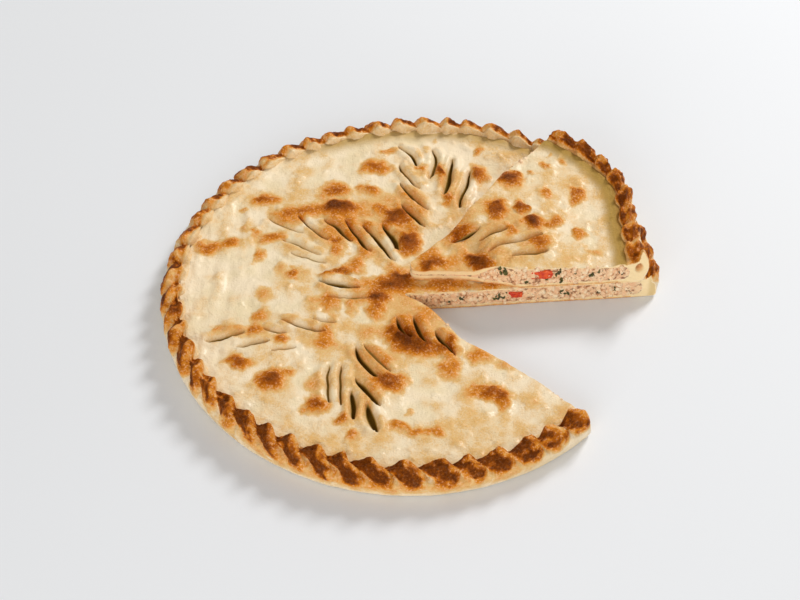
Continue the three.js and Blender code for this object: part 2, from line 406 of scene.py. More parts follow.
@dataclass
class Plan:
    """The outline of a piece of pie: a round side and the knife's path in, round its point and out.

    Attributes:
        middle: centre of the round side.
        places: points that the knife passes.
        seed: for the unsteady cut.
        step: distance between points of the knife's path.
        wobble: how far the cut strays.
        knife: the knife's path as it was cut.
        insets: the insets from the side that were looked up.
        spans: the angles between which the side runs at each of them.
    """

    middle: Points
    places: list[tuple[float, float]]
    seed: int
    step: float = 0.8
    wobble: float = 0.35
    knife: Points = field(init=False)
    insets: Points = field(init=False)
    spans: Points = field(init=False)

    STRAY = 7.0  # length over which the cut strays
    INSETS = (-14.0, 40.0)  # insets from the side that are looked up once

    def __post_init__(self) -> None:
        """Draws the knife's path and looks up where it crosses each inset from the side."""
        path = evenly(smooth_line(self.places), self.step)
        stray = Grain(self.seed).layered(path, self.STRAY, 2)[:, None] * self.wobble
        self.knife = path + right_of(path) * stray
        self.insets = np.arange(*self.INSETS, 1.0)
        self.spans = np.array([self._span(inset) for inset in self.insets])

    def side(self, angle: Points) -> Points:
        """Radius of the round side at an angle."""
        raise NotImplementedError

    def place(self, plan: Points, height: Points) -> Points:
        """Height above the ground of points that lie at a height within the piece."""
        return np.broadcast_to(height, len(plan)).astype(float)

    def inset_of(self, points: Points) -> Points:
        """How far inside the round side each point lies."""
        x, y = (points - self.middle).T
        return self.side(np.arctan2(y, x)) - np.hypot(x, y)

    def _span(self, inset: float) -> tuple[float, float]:
        """Finds where the round side starts and stops.

        Args:
            inset: how far inside the side to look.

        Returns:
            The two angles in radians, the second one the larger.
        """
        depth = self.inset_of(self.knife) - inset
        first, *_, last = np.flatnonzero(depth > 0)
        angles = []
        for near, far in ((last, last + 1), (first, first - 1)):
            share = depth[near] / (depth[near] - depth[far])
            x, y = self.knife[near] + share * (self.knife[far] - self.knife[near]) - self.middle
            angles.append(math.atan2(y, x))
        start, stop = angles
        return start, stop + (2 * math.pi if stop < start else 0)

    def angle(self, share: Points, inset: Points) -> Points:
        """Finds angles on the round side.

        Args:
            share: share of the way round.
            inset: how far inside the side.

        Returns:
            An angle in radians for each share.
        """
        start = np.interp(inset, self.insets, self.spans[:, 0])
        stop = np.interp(inset, self.insets, self.spans[:, 1])
        return start + (stop - start) * share

    def at(self, share: Points, inset: Points) -> Points:
        """Finds plan points on the round side.

        Args:
            share: share of the way round.
            inset: how far inside the side.

        Returns:
            A plan point for each share.
        """
        angle = self.angle(share, inset)
        radius = self.side(angle) - inset
        return np.column_stack([radius * np.cos(angle), radius * np.sin(angle)]) + self.middle

    def arc(self, inset: float, columns: int) -> Points:
        """The round side from the knife's last crossing to its first, an inset in."""
        return self.at(np.linspace(0, 1, columns + 1), np.full(columns + 1, float(inset)))

    def cut(self, inset: float) -> Points:
        """The knife's path through the piece.

        Args:
            inset: how far inside the round side it starts and stops.

        Returns:
            Its plan points, from the arc's end to the arc's start.
        """
        depth = self.inset_of(self.knife) - inset
        within_piece = np.flatnonzero(depth > 0.3 * self.step)
        ends = self.arc(inset, 1)
        return np.vstack([ends[1], self.knife[within_piece[0] : within_piece[-1] + 1], ends[0]])

    def outline(self, inset: float, columns: int) -> Points:
        """The whole outline, anticlockwise, with so many facets round its side."""
        return np.vstack([self.arc(inset, columns)[:-1], self.cut(inset)[:-1]])

    def keep(self, points: Points, inset: float, margin: float) -> Points:
        """Tells which points lie in the piece.

        Args:
            points: plan points.
            inset: how far inside the round side the outline is.
            margin: how far inside the outline they must lie.

        Returns:
            True or False for each point.
        """
        kept = self.inset_of(points) > inset + margin
        kept[kept] = inside(self.outline(inset, 90), points[kept])
        kept[kept] = distance_to(self.knife, points[kept]) > margin
        return kept


@dataclass
class PiePlan(Plan):
    """The pie with a wedge cut out.

    Attributes:
        radius: mean radius of its side.
        lobes: how the hand-made side is out of round: lobes, height and heading of each set.
    """

    radius: float = 159.3
    lobes: tuple = ((1, 1.5, 155.0), (2, 2.8, 60.0), (3, 1.6, 40.0))

    def side(self, angle: Points) -> Points:
        """Radius of the round side at an angle."""
        swell = sum(h * np.cos(n * (angle - math.radians(at))) for n, h, at in self.lobes)
        return self.radius + swell


@dataclass
class SlicePlan(Plan):
    """The slice, flattened at its point and tipped back onto the pie's rope edge.

    Attributes:
        radius: from its point to its side.
        swell: how much farther the side is towards the back cut.
        belly: how much it bulges between.
        floor: height of its underside at the pie's middle.
        tilt: rise of the underside towards the back.
        thin: thickness at the point against the pie's.
        thick: thickness where the filling is fullest.
    """

    radius: float = 146.5
    swell: float = 6.0
    belly: float = 4.6
    floor: float = 15.2
    tilt: float = 0.048
    thin: float = 0.62
    thick: float = 1.15

    SWELLS = (30, 60, 24)  # headings from and to which the side swells, and the fade
    BELLIES = (29, 38, 16)
    FILLS = (36, 56)  # reach from the point over which the slice grows full
    EVENS = (80, 125)  # reach over which it comes back to the pie's own thickness

    def side(self, angle: Points) -> Points:
        """Works out the radius of the round side.

        Args:
            angle: angles in radians.

        Returns:
            The radius at each.
        """
        heading = heading_of(angle)
        swollen = self.radius + self.swell * within(heading, *self.SWELLS)
        return swollen + self.belly * within(heading, *self.BELLIES)

    def thickness(self, plan: Points) -> Points:
        """Works out how thick the slice is.

        Args:
            plan: plan points.

        Returns:
            The thickness at each against the pie's.
        """
        reach = np.hypot(*(plan - self.middle).T)
        fuller = (self.thick - self.thin) * ramp(*self.FILLS, reach)
        return self.thin + fuller - (self.thick - 1) * ramp(*self.EVENS, reach)

    def place(self, plan: Points, height: Points) -> Points:
        """Height above the ground of points that lie at a height within the piece."""
        return self.floor + self.tilt * plan[:, 1] + height * self.thickness(plan)


# ---- Lid: slits, browning and blisters ----


@dataclass(frozen=True)
class Slit:
    """A scored slit between two raised lips.

    Attributes:
        start: one end.
        end: the other end.
        bow: how far its middle is pushed to the left.
        width: widest opening.
        open: how deep and dark it is, from 0 to 1.
        lift: how far the lip on its left stands up.
    """

    start: tuple[float, float]
    end: tuple[float, float]
    bow: float
    width: float
    open: float = 1.0
    lift: float = 0.0

    # Rows of points beside it: a share of half its width, and so far on.
    ROWS = ((0.35, 0), (0.7, 0), (1, 0.1), (1.15, 0.6), (1.25, 1.3))

    def _run(self) -> tuple[Points, Points, Points]:
        """Its start, the way to its end, and the unit direction to its left."""
        along = np.subtract(self.end, self.start)
        return np.array(self.start), along, np.array([-along[1], along[0]]) / np.hypot(*along)

    def across(self, points: Points) -> tuple[Points, Points, Points]:
        """Places points against the slit.

        Args:
            points: plan points.

        Returns:
            The share of the way along, the distance off its middle line, and half its width there.
        """
        start, along, left = self._run()
        share = (points - start) @ along / np.hypot(*along) ** 2
        arch = np.clip(4 * share * (1 - share), 0, 1)
        return share, (points - start) @ left - self.bow * arch, self.width / 2 * np.sqrt(arch)

    def points(self, step: float) -> Points:
        """Places points on the slit and its lips, for a mesh that follows them.

        Args:
            step: distance between two points along it.

        Returns:
            The plan points.
        """
        start, along, left = self._run()
        share = np.linspace(0, 1, max(6, round(np.hypot(*along) / step)))
        arch = 4 * share * (1 - share)
        offsets = [self.bow * arch]
        for part, extra in self.ROWS:
            for side in (-1, 1):
                half = self.width / 2 * np.sqrt(arch) * part + extra
                offsets.append(self.bow * arch + side * half)
        return np.vstack([start + share[:, None] * along + left * off[:, None] for off in offsets])


@dataclass(frozen=True)
class Scorch:
    """A browned patch on the lid, where the dough rose towards the heat.

    Attributes:
        x: its middle.
        y: its middle.
        long: half its length.
        wide: half its width.
        turn: heading of its length in degrees.
        heat: how dark it is, from 0 to 1.
    """

    x: float
    y: float
    long: float
    wide: float
    turn: float
    heat: float

    FADE = (1.5, 0.2)  # shares of its half length between which it fades in

    def on(self, points: Points) -> Points:
        """How strongly it shows, before its heat.

        Args:
            points: plan points.

        Returns:
            A share for each point.
        """
        c, s = math.cos(math.radians(self.turn)), math.sin(math.radians(self.turn))
        dx, dy = points[:, 0] - self.x, points[:, 1] - self.y
        reach = np.hypot((dx * c + dy * s) / self.long, (dy * c - dx * s) / self.wide)
        return ramp(*self.FADE, reach)


@dataclass
class LidSkin:
    """What the top of a lid is like: its slits, browned patches, blisters and soft waves.

    Attributes:
        slits: the scored slits.
        scorches: the browned patches.
        seed: for its noise.
        slit_depth: depth of an open slit.
        lip: height of the lips along it.
        tan: how much more baked the whole lid is.
        wave: height of the slow waves.
        blister: height of the blisters.
        dome: height to which a browned patch is puffed up.
    """

    slits: list[Slit]
    scorches: list[Scorch]
    seed: int
    slit_depth: float = 4.4
    lip: float = 1.9
    tan: float = 0.0
    wave: float = 1.05
    blister: float = 0.7
    dome: float = 2.7

    SWAY, SWAY_WIDTH = 1.6, 13.0  # how far slits stray from plain lines, and over what width
    LIP_REACH = 9.0  # a lip ends this far from its slit
    LIP_TOP, LIP_SPREAD = 3.4, 2.6  # where it is highest, and how broad
    OPEN = (0.02, 0.98)  # shares of a slit's length between which it is open
    LIFTED = (0.1, 0.9, 0.15)  # the same for a lip that stands up, and the fade
    WAVE_WIDTH, SWELL_WIDTH, BLISTER_WIDTH = 26.0, 11.0, 5.5
    GRIT_WIDTH, GRIT_HEIGHT = 1.9, 0.07
    FOLDED = (-148, -108, 16)  # distances east between which the lid lies in folds, and the fade
    FOLD_WIDTH, FOLD_STRETCH, FOLD_HEIGHT = 7.0, (1.0, 0.22), 1.5
    WARMEST, WARMTH = np.array([-22, 12]), (120, 25)  # the warmest place, and how far it fades
    NEARER = (-50, -130)  # distances north over which the front gets browner
    PLAIN_BAKE = 0.08

    def sway(self, points: Points) -> Points:
        """How far the slits stray from their plain lines at plan points."""
        grains = (Grain(self.seed + extra) for extra in (51, 52))
        return self.SWAY * np.column_stack([grain.at(points, self.SWAY_WIDTH) for grain in grains])

    def scored(self, step: float) -> Points:
        """Plan points along all the slits, for a mesh that follows them."""
        rows = np.vstack([slit.points(step) for slit in self.slits])
        return rows - self.sway(rows)

    def _heat(self, points: Points) -> Points:
        """Works out how dark the browned patches make the lid.

        Args:
            points: plan points.

        Returns:
            A heat for each point, from 0 to 1.
        """
        heat = np.zeros(len(points))
        for scorch in self.scorches:
            heat = 1 - (1 - heat) * (1 - scorch.heat * scorch.on(points))
        return heat

    def _scores(self, points: Points) -> tuple[Points, Points, Points]:
        """Looks up the slits.

        Args:
            points: plan points.

        Returns:
            How dark the opening is, as painted shade over the filling showing through, how deep the
            groove is and how high the lips are, from 0 to 1.
        """
        cut, groove, lip = (np.zeros(len(points)) for _ in range(3))
        for slit in self.slits:
            share, off, half = slit.across(points)
            beside = np.abs(off) < slit.width / 2 + self.LIP_REACH
            near = (share > -0.25) & (share < 1.25) & beside
            s, d, h = share[near], np.abs(off[near]), half[near]
            on = within(s, *self.OPEN, 0.05)
            deep = ramp(1.2, 0.45, d / np.maximum(h, 0.3)) * on * slit.open
            wall = ramp(1.0, 0.0, d / (1.5 * h + 1.1)) ** 1.3 * on * slit.open
            hump = np.exp(-(((d - h - self.LIP_TOP) / self.LIP_SPREAD) ** 2))
            puff = hump * within(s, *self.OPEN, 0.2)
            leftward = ramp(0, 2.5, off[near]) * ramp(self.LIP_REACH, 4, off[near])
            raised = leftward * within(s, *self.LIFTED) * slit.lift
            cut[near] = np.maximum(cut[near], deep)
            groove[near] = np.maximum(groove[near], wall)
            lip[near] = np.maximum(lip[near], puff * (0.4 + 0.6 * slit.open) + raised)
        return cut, groove, lip

    def read(self, points: Points) -> dict[str, Points]:
        """Rise above the plain lid and marks at plan points.

        Args:
            points: plan points.

        Returns:
            The rise in millimetres, and the marks of Shell.
        """
        soft, fine, drawn = (Grain(self.seed + extra) for extra in (0, 20, 40))
        slow = soft.layered(points, self.WAVE_WIDTH, 2)
        warp = np.column_stack([soft.layered(points + away, 9.0, 3) for away in (91, -47)])
        crisp = np.column_stack([soft.layered(points + away, 3.6, 2) for away in (17, -23)])
        heat = self._heat(points + 3.4 * warp + 1.3 * crisp)
        cut, groove, lip = self._scores(points + self.sway(points))
        mid = soft.layered(points - 31, self.SWELL_WIDTH, 2)
        bumps = np.maximum(fine.layered(points, self.BLISTER_WIDTH, 2), 0) ** 1.5 * self.blister * 2
        grit = fine.at(points, self.GRIT_WIDTH) * self.GRIT_HEIGHT
        folds = drawn.layered(points * self.FOLD_STRETCH, self.FOLD_WIDTH, 2)
        folds = folds * within(points[:, 0], *self.FOLDED)

        rise = self.wave * (slow + 0.8 * mid) + bumps + grit
        rise = rise + self.dome * ramp(0.08, 0.85, heat) + self.FOLD_HEIGHT * folds
        filled = self.slit_depth + np.maximum(rise, 0)
        rise = rise + self.lip * lip * (1 - groove) - groove * filled

        warm = ramp(*self.WARMTH, np.hypot(*(points - self.WARMEST).T))
        tint = self.PLAIN_BAKE + self.tan + 0.05 * warm + (0.1 + 0.16 * warm) * (slow + mid)
        tint = tint + 0.1 * warp[:, 0] + 0.16 * lip * np.maximum(0, 0.4 + mid)
        tint = tint + 0.05 * folds + 0.07 * ramp(*self.NEARER, points[:, 1])
        return {"rise": rise, "bake": np.clip(tint + heat, 0, 1), "slit": cut}


# ---- Layers: flat sheets with cut edges ----


@dataclass
class Layer:
    """A sheet between two heights with a crumbly cut edge.

    Attributes:
        plan: the outline.
        inset: how far inside the round side it ends.
        low: height of its underside at plan points.
        high: height of its top at plan points.
        columns: facets round the side.
        rows: rows of faces up the cut edge.
        bite: how rough the cut edge is.
        lump: width of a lump on the cut edge.
        seed: for its noise.
    """

    plan: Plan
    inset: float
    low: Heights
    high: Heights
    columns: int
    rows: int
    bite: float
    lump: float
    seed: int

    def face(self, shell: Shell, inner: Points, heights: Heights, **marks: Points | float) -> None:
        """Adds the top or the underside, which the inner plan points help to shape."""
        plan, faces = triangulated(self.plan.outline(self.inset, self.columns), inner)
        shell.add(np.column_stack([plan, heights(plan)]), faces, **marks)

    def cut_face(self, shell: Shell, **marks: Callable[[Points, Points], Points]) -> None:
        """Adds the face that the knife left, rough with lumps.

        Args:
            shell: what it is added to.
            **marks: each mark as a function of the points and their share of the way up.
        """
        path = self.plan.cut(self.inset)
        rows = self.rows + 1
        up = np.tile(np.linspace(0, 1, rows), len(path))
        plan = np.repeat(path, rows, axis=0)
        low, high = (np.repeat(h(path), rows) for h in (self.low, self.high))
        points = np.column_stack([plan, mix(low, high, up)])
        reach = reach_along(path)
        ends = np.repeat(ramp(0, 3, reach) * ramp(0, 3, reach[-1] - reach), rows)
        fade = ends * np.sin(np.pi * up) ** 0.5
        rough = Grain(self.seed).layered(points, self.lump, 3) * self.bite * fade
        points[:, :2] += np.repeat(right_of(path), rows, axis=0) * rough[:, None]
        values = {mark: value(points, up) for mark, value in marks.items()}
        shell.add(points, grid_faces(len(path), rows), **values)

    def rim_face(self, shell: Shell) -> None:
        """Adds the plain round edge, which the rope covers.

        Args:
            shell: what it is added to.
        """
        arc, rows = self.plan.arc(self.inset, self.columns), self.rows + 1
        low, high = (np.repeat(h(arc), rows) for h in (self.low, self.high))
        heights = mix(low, high, np.tile(np.linspace(0, 1, rows), len(arc)))
        points = np.column_stack([np.repeat(arc, rows, axis=0), heights])
        shell.add(points, grid_faces(len(arc), rows), crumb=1.0)


# ---- The rope edge ----


@dataclass(frozen=True)
class Pleats:
    """The rope's side, point by point: each value is a grid of columns by rows.

    Attributes:
        up: share of the way up the section, from the foot to the crease.
        across: share of the way from one valley to the next.
        ridge: height of the pleat, 0 in a valley and 1 on its lip.
        body: 1 along the middle of a pleat, falling to 0 in the valleys.
        start: how far up the pleats begin.
        on: 0 on the plain side below them and 1 on them.
        weight: how strongly they stand out, which fades at the crease and at the cut ends.
        ends: distance from the nearer cut end.
        each: a draw for each pleat, from -1 to 1.
        other: a second draw.
        lumps: soft noise.
        grit: fine noise.
        blot: noise that breaks up the browning.
        ribs: fine creases along the pleats.
    """

    up: Points
    across: Points
    ridge: Points
    body: Points
    start: Points
    on: Points
    weight: Points
    ends: Points
    each: Points
    other: Points
    lumps: Points
    grit: Points
    blot: Points
    ribs: Points


@dataclass
class Rope:
    """The twisted rope edge: pleats that lean away from a ridge on both sides of the crest.

    A band up the section is three shares: from, to, and the fade on both sides.

    Attributes:
        plan: the outline that it follows.
        crests: heading of each pleat's outer top, in degrees.
        columns: points round the side.
        seed: for its noise.
        width: its width from the side to the crease, by heading.
        crest: height of its top, by heading.
        scorched: how dark its pleats are, by heading.
        browned: share of the way up its section at which the browning ends, by heading.
        lean: how strongly the pleats lean, by heading.
        waist: how deep the saddle is between the inner and the outer half of a pleat.
        claw: how far the inner end of a pleat stands up.
        wall: how baked the inner wall looks, partly its baking and partly painted warm shade.
        depth: valley between two pleats.
        inner_lean: how far a lip runs back from the crest to the crease, in pleats.
        curl: how far the outer dough stands up alone at the first end, from 0 to 1.
        outer_lean: how far a lip runs on from the crest to the foot, in pleats.
        step: distance between points down the section.
    """

    plan: Plan
    crests: list[float]
    columns: int
    seed: int
    width: Heights
    crest: Heights
    scorched: Heights
    browned: Heights
    lean: Heights
    waist: float = 0.8
    claw: float = 1.1
    wall: float = 0.17
    depth: float = 5.2
    inner_lean: float = 0.42
    curl: float = 0.0
    outer_lean: float = 0.85
    step: float = 0.8

    WIDTH = 14.5
    TOP = 22.8
    RIM_INSET = 5.0  # the crest is this far inside the side
    ROUND = 158.0  # radius there, which turns an angle into a length
    PITCH, GIRTH = 17.0, 42.0  # a pleat's and the section's length on the noise
    FLOOR = 14.2  # the valleys inside the crest reach no lower
    INNER = 0.7  # share of the way up at which the inside begins
    SPINE = (8.0, 12.5)  # the pleats swell away from this line
    CREST_SHARE = 0.6  # of the section's length, from the foot up
    PEAK = 0.68  # share of a pleat's width at which it is highest
    FOOT = (0.06, 0.14, 0.08)  # band above a pleat's start where its foot bulges
    CLAW = (0.8, 0.86, 0.06)  # band where the inner ends stand up
    GROOVE = (0.72, 0.75, 0.07)  # band of the groove inside the crest
    SADDLE = (0.55, 0.58, 0.08)  # band of the saddle on the crest
    CROWN = (0.48, 0.66, 0.08)  # band that browns most
    RIDGE = (0.53, 0.58, 0.06)  # band that the facets' browning spares
    RIB_DEPTH, END_ROUND = 1.3, 3.0  # depth of the creases, and how far a cut end is rounded off
    CURL_FADE = (9, 1)  # distance from the first end over which it curls up
    PLAIN_BAKE, BAKES = 0.09, (0.02, 0.97)  # baking of the plain side, and the least and the most
    END_GRID, END_REACH = 0.8, 16.0  # spacing of the points on a cut end, and half their square
    END_MIDDLE, END_CLEAR = (-6.0, 12.0), 0.45  # its middle, and how far they keep off the rim
    HOLE, HOLE_DEPTH = (2.5, 3.9), 4.4  # half width, half height and depth of a curl's hole
    SECTION = (
        (5.0, 0.0), (1.6, 0.6), (0.3, 3.0), (-0.6, 8.0), (-0.5, 13.0), (0.4, 18.0), (2.2, 21.2),
        (5.0, 22.8), (8.2, 22.9), (11.0, 21.6), (12.7, 18.4), (14.5, 13.9),
    )
    CURL = (
        (5.0, 0.0), (1.6, 0.6), (0.3, 3.0), (-1.4, 8.0), (-2.0, 13.0), (-1.2, 18.0), (0.2, 22.0),
        (1.8, 25.6), (3.2, 26.2), (4.0, 23.5), (4.5, 19.5), (6.0, 17.2), (9.0, 16.2),
        (12.0, 15.4), (14.5, 13.9),
    )
    TUCK = (
        (14.0, 13.3), (13.2, 12.9), (12.0, 12.1), (10.9, 10.7), (10.3, 9.2), (10.1, 7.7),
        (10.5, 5.8), (11.6, 4.1), (13.2, 2.9), (15.0, 2.6), (BASE_INSET, 2.6),
    )

    def pleat(self, turn: Points, up: Points, lean: Points) -> tuple[Points, Points, Points]:
        """Height of the pleats: a long rise to a lip, then a short drop.

        Args:
            turn: pleats passed, counted at the crest.
            up: share of the way from the foot to the crease.
            lean: how strongly they lean.

        Returns:
            The height, 0 in a valley and 1 on a lip, the share of the way from a valley to the
            next, and the pleat's number.
        """
        inner = np.maximum(up - self.CREST_SHARE, 0) / (1 - self.CREST_SHARE)
        outer = np.maximum(self.CREST_SHARE - up, 0) / self.CREST_SHARE
        passed = turn + lean * (self.inner_lean * inner - self.outer_lean * outer) + self.PEAK
        across = passed % 1
        before = np.minimum(across / self.PEAK, 1)
        after = np.maximum(across - self.PEAK, 0) / (1 - self.PEAK)
        round_rise = np.sin(np.pi / 2 * before) ** 0.74
        flat_rise = 0.5 * before + 0.5 * np.sin(np.pi / 2 * before) ** 1.5
        rise = mix(round_rise, flat_rise, ramp(0.42, 0.68, up))
        return rise * np.cos(np.pi / 2 * after) ** 0.7, across, passed - across

    def _noise(self, extra: int, places: Points, size: float, layers: int) -> Points:
        """Layered noise over a grid of places, from about -1 to 1."""
        flat = Grain(self.seed + extra).layered(places.reshape(-1, 2), size, layers)
        return flat.reshape(places.shape[:-1])

    def _angles(self) -> Points:
        """The angle of each column."""
        return self.plan.angle(np.linspace(0, 1, self.columns + 1), self.RIM_INSET)

    def _pleats(self, angle: Points, rows: int) -> Pleats:
        """Works out the pleats over the whole side.

        Args:
            angle: the angle of each column.
            rows: points up the section.

        Returns:
            The values at each point.
        """
        heading = np.degrees(angle)
        turn = np.interp(heading, self.crests, np.arange(len(self.crests)))
        turns, up = np.meshgrid(turn, np.linspace(0, 1, rows), indexing="ij")
        place = np.stack([turns * self.PITCH, up * self.GIRTH], axis=-1)
        stray = 0.15 * self._noise(2, place, 12.0, 2)
        ridge, across, count = self.pleat(turns + stray, up, self.lean(heading)[:, None])
        numbered = np.stack([count * 7.3, np.zeros_like(count)], axis=-1).reshape(-1, 2)
        each, other = (
            Grain(self.seed + extra).at(numbered, size).reshape(count.shape)
            for extra, size in ((0, 1.7), (1, 1.3))
        )
        body = np.sin(np.pi * across) ** 0.7
        start = 0.33 - 0.09 * body - 0.03 * other
        on = ramp(0, 0.1, up - start)
        ends = (angle - angle[0]) * self.ROUND
        ends = np.minimum(np.abs(ends), np.abs(ends[-1] - ends))[:, None]
        weight = on * (1 - ramp(0.92, 1.0, up)) * mix(0.3, 1.0, ramp(0, 8, ends))
        drawn = np.stack([across * 9 + count * 5, up * 7], axis=-1)
        return Pleats(
            up, across, ridge, body, start, on, weight, ends, each, other,
            lumps=self._noise(3, place, 7.0, 2),
            grit=self._noise(7, place, 3.0, 3),
            blot=self._noise(13, place, 5.0, 3),
            ribs=np.abs(self._noise(17, drawn, 2.0, 2)) * body * weight,
        )

    def _push(self, side: Pleats) -> Points:
        """Works out how far the pleats stand out of the plain section.

        Args:
            side: the values at each point.

        Returns:
            Millimetres for each point, below 0 in the valleys.
        """
        up, on, weight = side.up, side.on, side.weight
        hold = ramp(0, 0.1, up) * (1 - ramp(0.93, 1, up)) * mix(0.2, 1.0, ramp(0, 5, side.ends))
        bulge = within(up - side.start, *self.FOOT) * side.body * (0.9 + 0.6 * side.other)
        rise, drop = ramp(0.25, 0.62, side.across), ramp(0.98, 0.74, side.across)
        claw = within(up, *self.CLAW) * rise * drop * weight
        dip = within(up, *self.GROOVE) * (1.3 + 0.8 * side.other * side.body) * on
        dip = dip + self.waist * within(up + 0.03 * side.other, *self.SADDLE) * side.body
        skin = (0.25 + 0.6 * on) * side.lumps + (0.08 + 0.5 * on) * side.grit
        skin = skin + 0.9 * side.each * weight * side.ridge
        push = -self.depth * weight * (1 - side.ridge) * (1 + 0.2 * side.each) + bulge - dip
        push = push + self.claw * claw - self.RIB_DEPTH * side.ribs + hold * skin
        rounded = 1 - np.sqrt(1 - ramp(5, 0, side.ends) ** 2 + 1e-9)
        return push - self.END_ROUND * rounded * ramp(0.04, 0.4, up) * ramp(1.0, 0.85, up)

    def _bake(self, side: Pleats, heading: Points) -> Points:
        """Works out how baked the side looks, with a painted highlight on the lips and painted warm
        shade on the inner wall.

        Args:
            side: the values at each point.
            heading: the heading of each column.

        Returns:
            A bake mark for each point.
        """
        up, across, lumps, blot = side.up, side.across, side.lumps, side.blot
        hot, rim = self.scorched(heading)[:, None], self.browned(heading)[:, None]
        top = ramp(0.46, 0.62, up)
        seen = side.on * ramp(rim + 0.06, rim - 0.05, up + 0.03 * lumps)
        seen = seen * mix(0.42, 1.0, ramp(0.0, 0.24, up - side.start + 0.04 * blot))
        drift = np.clip(across + 0.09 * blot, 0, 1)
        crease = ramp(0, 0.09, across) * ramp(1, 0.94, across)
        facet = mix(within(drift, 0.26, 0.7, 0.2), within(drift, 0.0, 0.5, 0.14), top)
        facet = facet * (1 - 0.45 * within(up, *self.RIDGE)) * (1 - 0.35 * ramp(0.82, 0.9, up))
        facet = facet * (1 - 0.25 * ramp(0.5, 0.42, up))
        lip = within(drift, self.PEAK - 0.02, 0.92, 0.07) * mix(0.5, 1.0, top)
        bake = seen * mix(crease, 1.0, 0.35 + 0.4 * top) * (0.36 + 0.16 * hot)
        bake = bake * (1 + 0.3 * lumps + 0.35 * blot)
        patchy = 1 + 0.6 * side.each + 0.6 * lumps + 0.9 * blot
        bake = bake + seen * facet * (0.1 + 0.26 * hot) * patchy
        bake = bake + seen * within(up, *self.CROWN) * side.body * (0.06 + 0.12 * hot)
        # Painted highlight: the pleats' lips are made paler, partly their own paler dough and
        # partly light along the ridge.
        bake = bake - seen * lip * (0.08 + 0.09 * hot)
        # The inner wall's tan is partly baking and partly painted warm shade.
        plain = self.PLAIN_BAKE + (self.wall - self.PLAIN_BAKE) * ramp(0.68, 0.78, up)
        bake = plain + bake + seen * (0.18 * side.grit + 0.6 * side.ribs - 0.07)
        below = ramp(0.8, 1.15, hot) * ramp(0.1, side.start, up) * (1 - side.on)
        return np.clip(bake + 0.2 * below * (1 + 1.2 * blot), *self.BAKES)

    def surface(self) -> tuple[Points, Points, Points]:
        """The section swept round.

        Returns:
            Insets, heights and bake marks, each a grid of columns by rows.
        """
        line = evenly(smooth_line(self.SECTION, 12), self.step)
        away = line - np.array(self.SPINE)
        away /= np.linalg.norm(away, axis=1)[:, None]
        curled = smooth_line(self.CURL, 12)
        curled = evenly(curled, reach_along(curled)[-1] / (len(line) - 1))
        angle = self._angles()
        heading = np.degrees(angle)
        side = self._pleats(angle, len(line))
        push = self._push(side)
        room = (line[:, 1] - self.FLOOR) / np.maximum(away[:, 1], 0.05)
        push = np.where(side.up > self.INNER, np.maximum(push, -np.maximum(room, 0)), push)
        near = self.curl * ramp(*self.CURL_FADE, np.abs(angle - angle[0]) * self.ROUND)[:, None]
        push = push * (1 - near)
        wider = (self.width(heading) / self.WIDTH - 1)[:, None]
        stretch = np.where(line[:, 0] > 0, 1, 0) * wider + 1
        lift = (self.crest(heading) - self.TOP)[:, None] * ramp(8, 22, line[:, 1])
        inset = mix(line[:, 0], curled[:, 0], near) * stretch + away[:, 0] * push
        height = mix(line[:, 1], curled[:, 1], near) + lift + away[:, 1] * push
        return inset, height, self._bake(side, heading)

    def add_to(self, shell: Shell, cut_rows: int, hollow: tuple[float, float] | None) -> None:
        """Adds the rope and its two cut ends.

        Args:
            shell: what it is added to.
            cut_rows: rows of faces up the base's cut edge, which the ends meet.
            hollow: inset and height of a small curl's hole in the first end, if it has one.
        """
        inset, height, bake = self.surface()
        columns = len(inset)
        tuck = np.array(self.TUCK)
        tucked = np.broadcast_to(tuck[:, 0], (columns, len(tuck))).copy()
        tucked[:, 0] *= self.width(np.degrees(self._angles())) / self.WIDTH
        low = np.broadcast_to(tuck[:, 1], (columns, len(tuck)))
        inset = np.hstack([np.full((columns, 1), BASE_INSET), inset, tucked])
        height = np.hstack([np.zeros((columns, 1)), height, low])
        bake = np.hstack([np.full((columns, 1), 0.4), bake, np.full((columns, len(tuck)), 0.1)])
        rows = inset.shape[1]
        share = np.repeat(np.linspace(0, 1, columns), rows)
        plan = self.plan.at(share, inset.ravel())
        points = np.column_stack([plan, self.plan.place(plan, height.ravel())])
        shell.add(points, grid_faces(columns, rows), bake=bake.ravel())
        for end, hole in ((0, hollow), (-1, None)):
            section = np.column_stack([inset[end], height[end]])
            self._end(shell, section, end, cut_rows, hole)

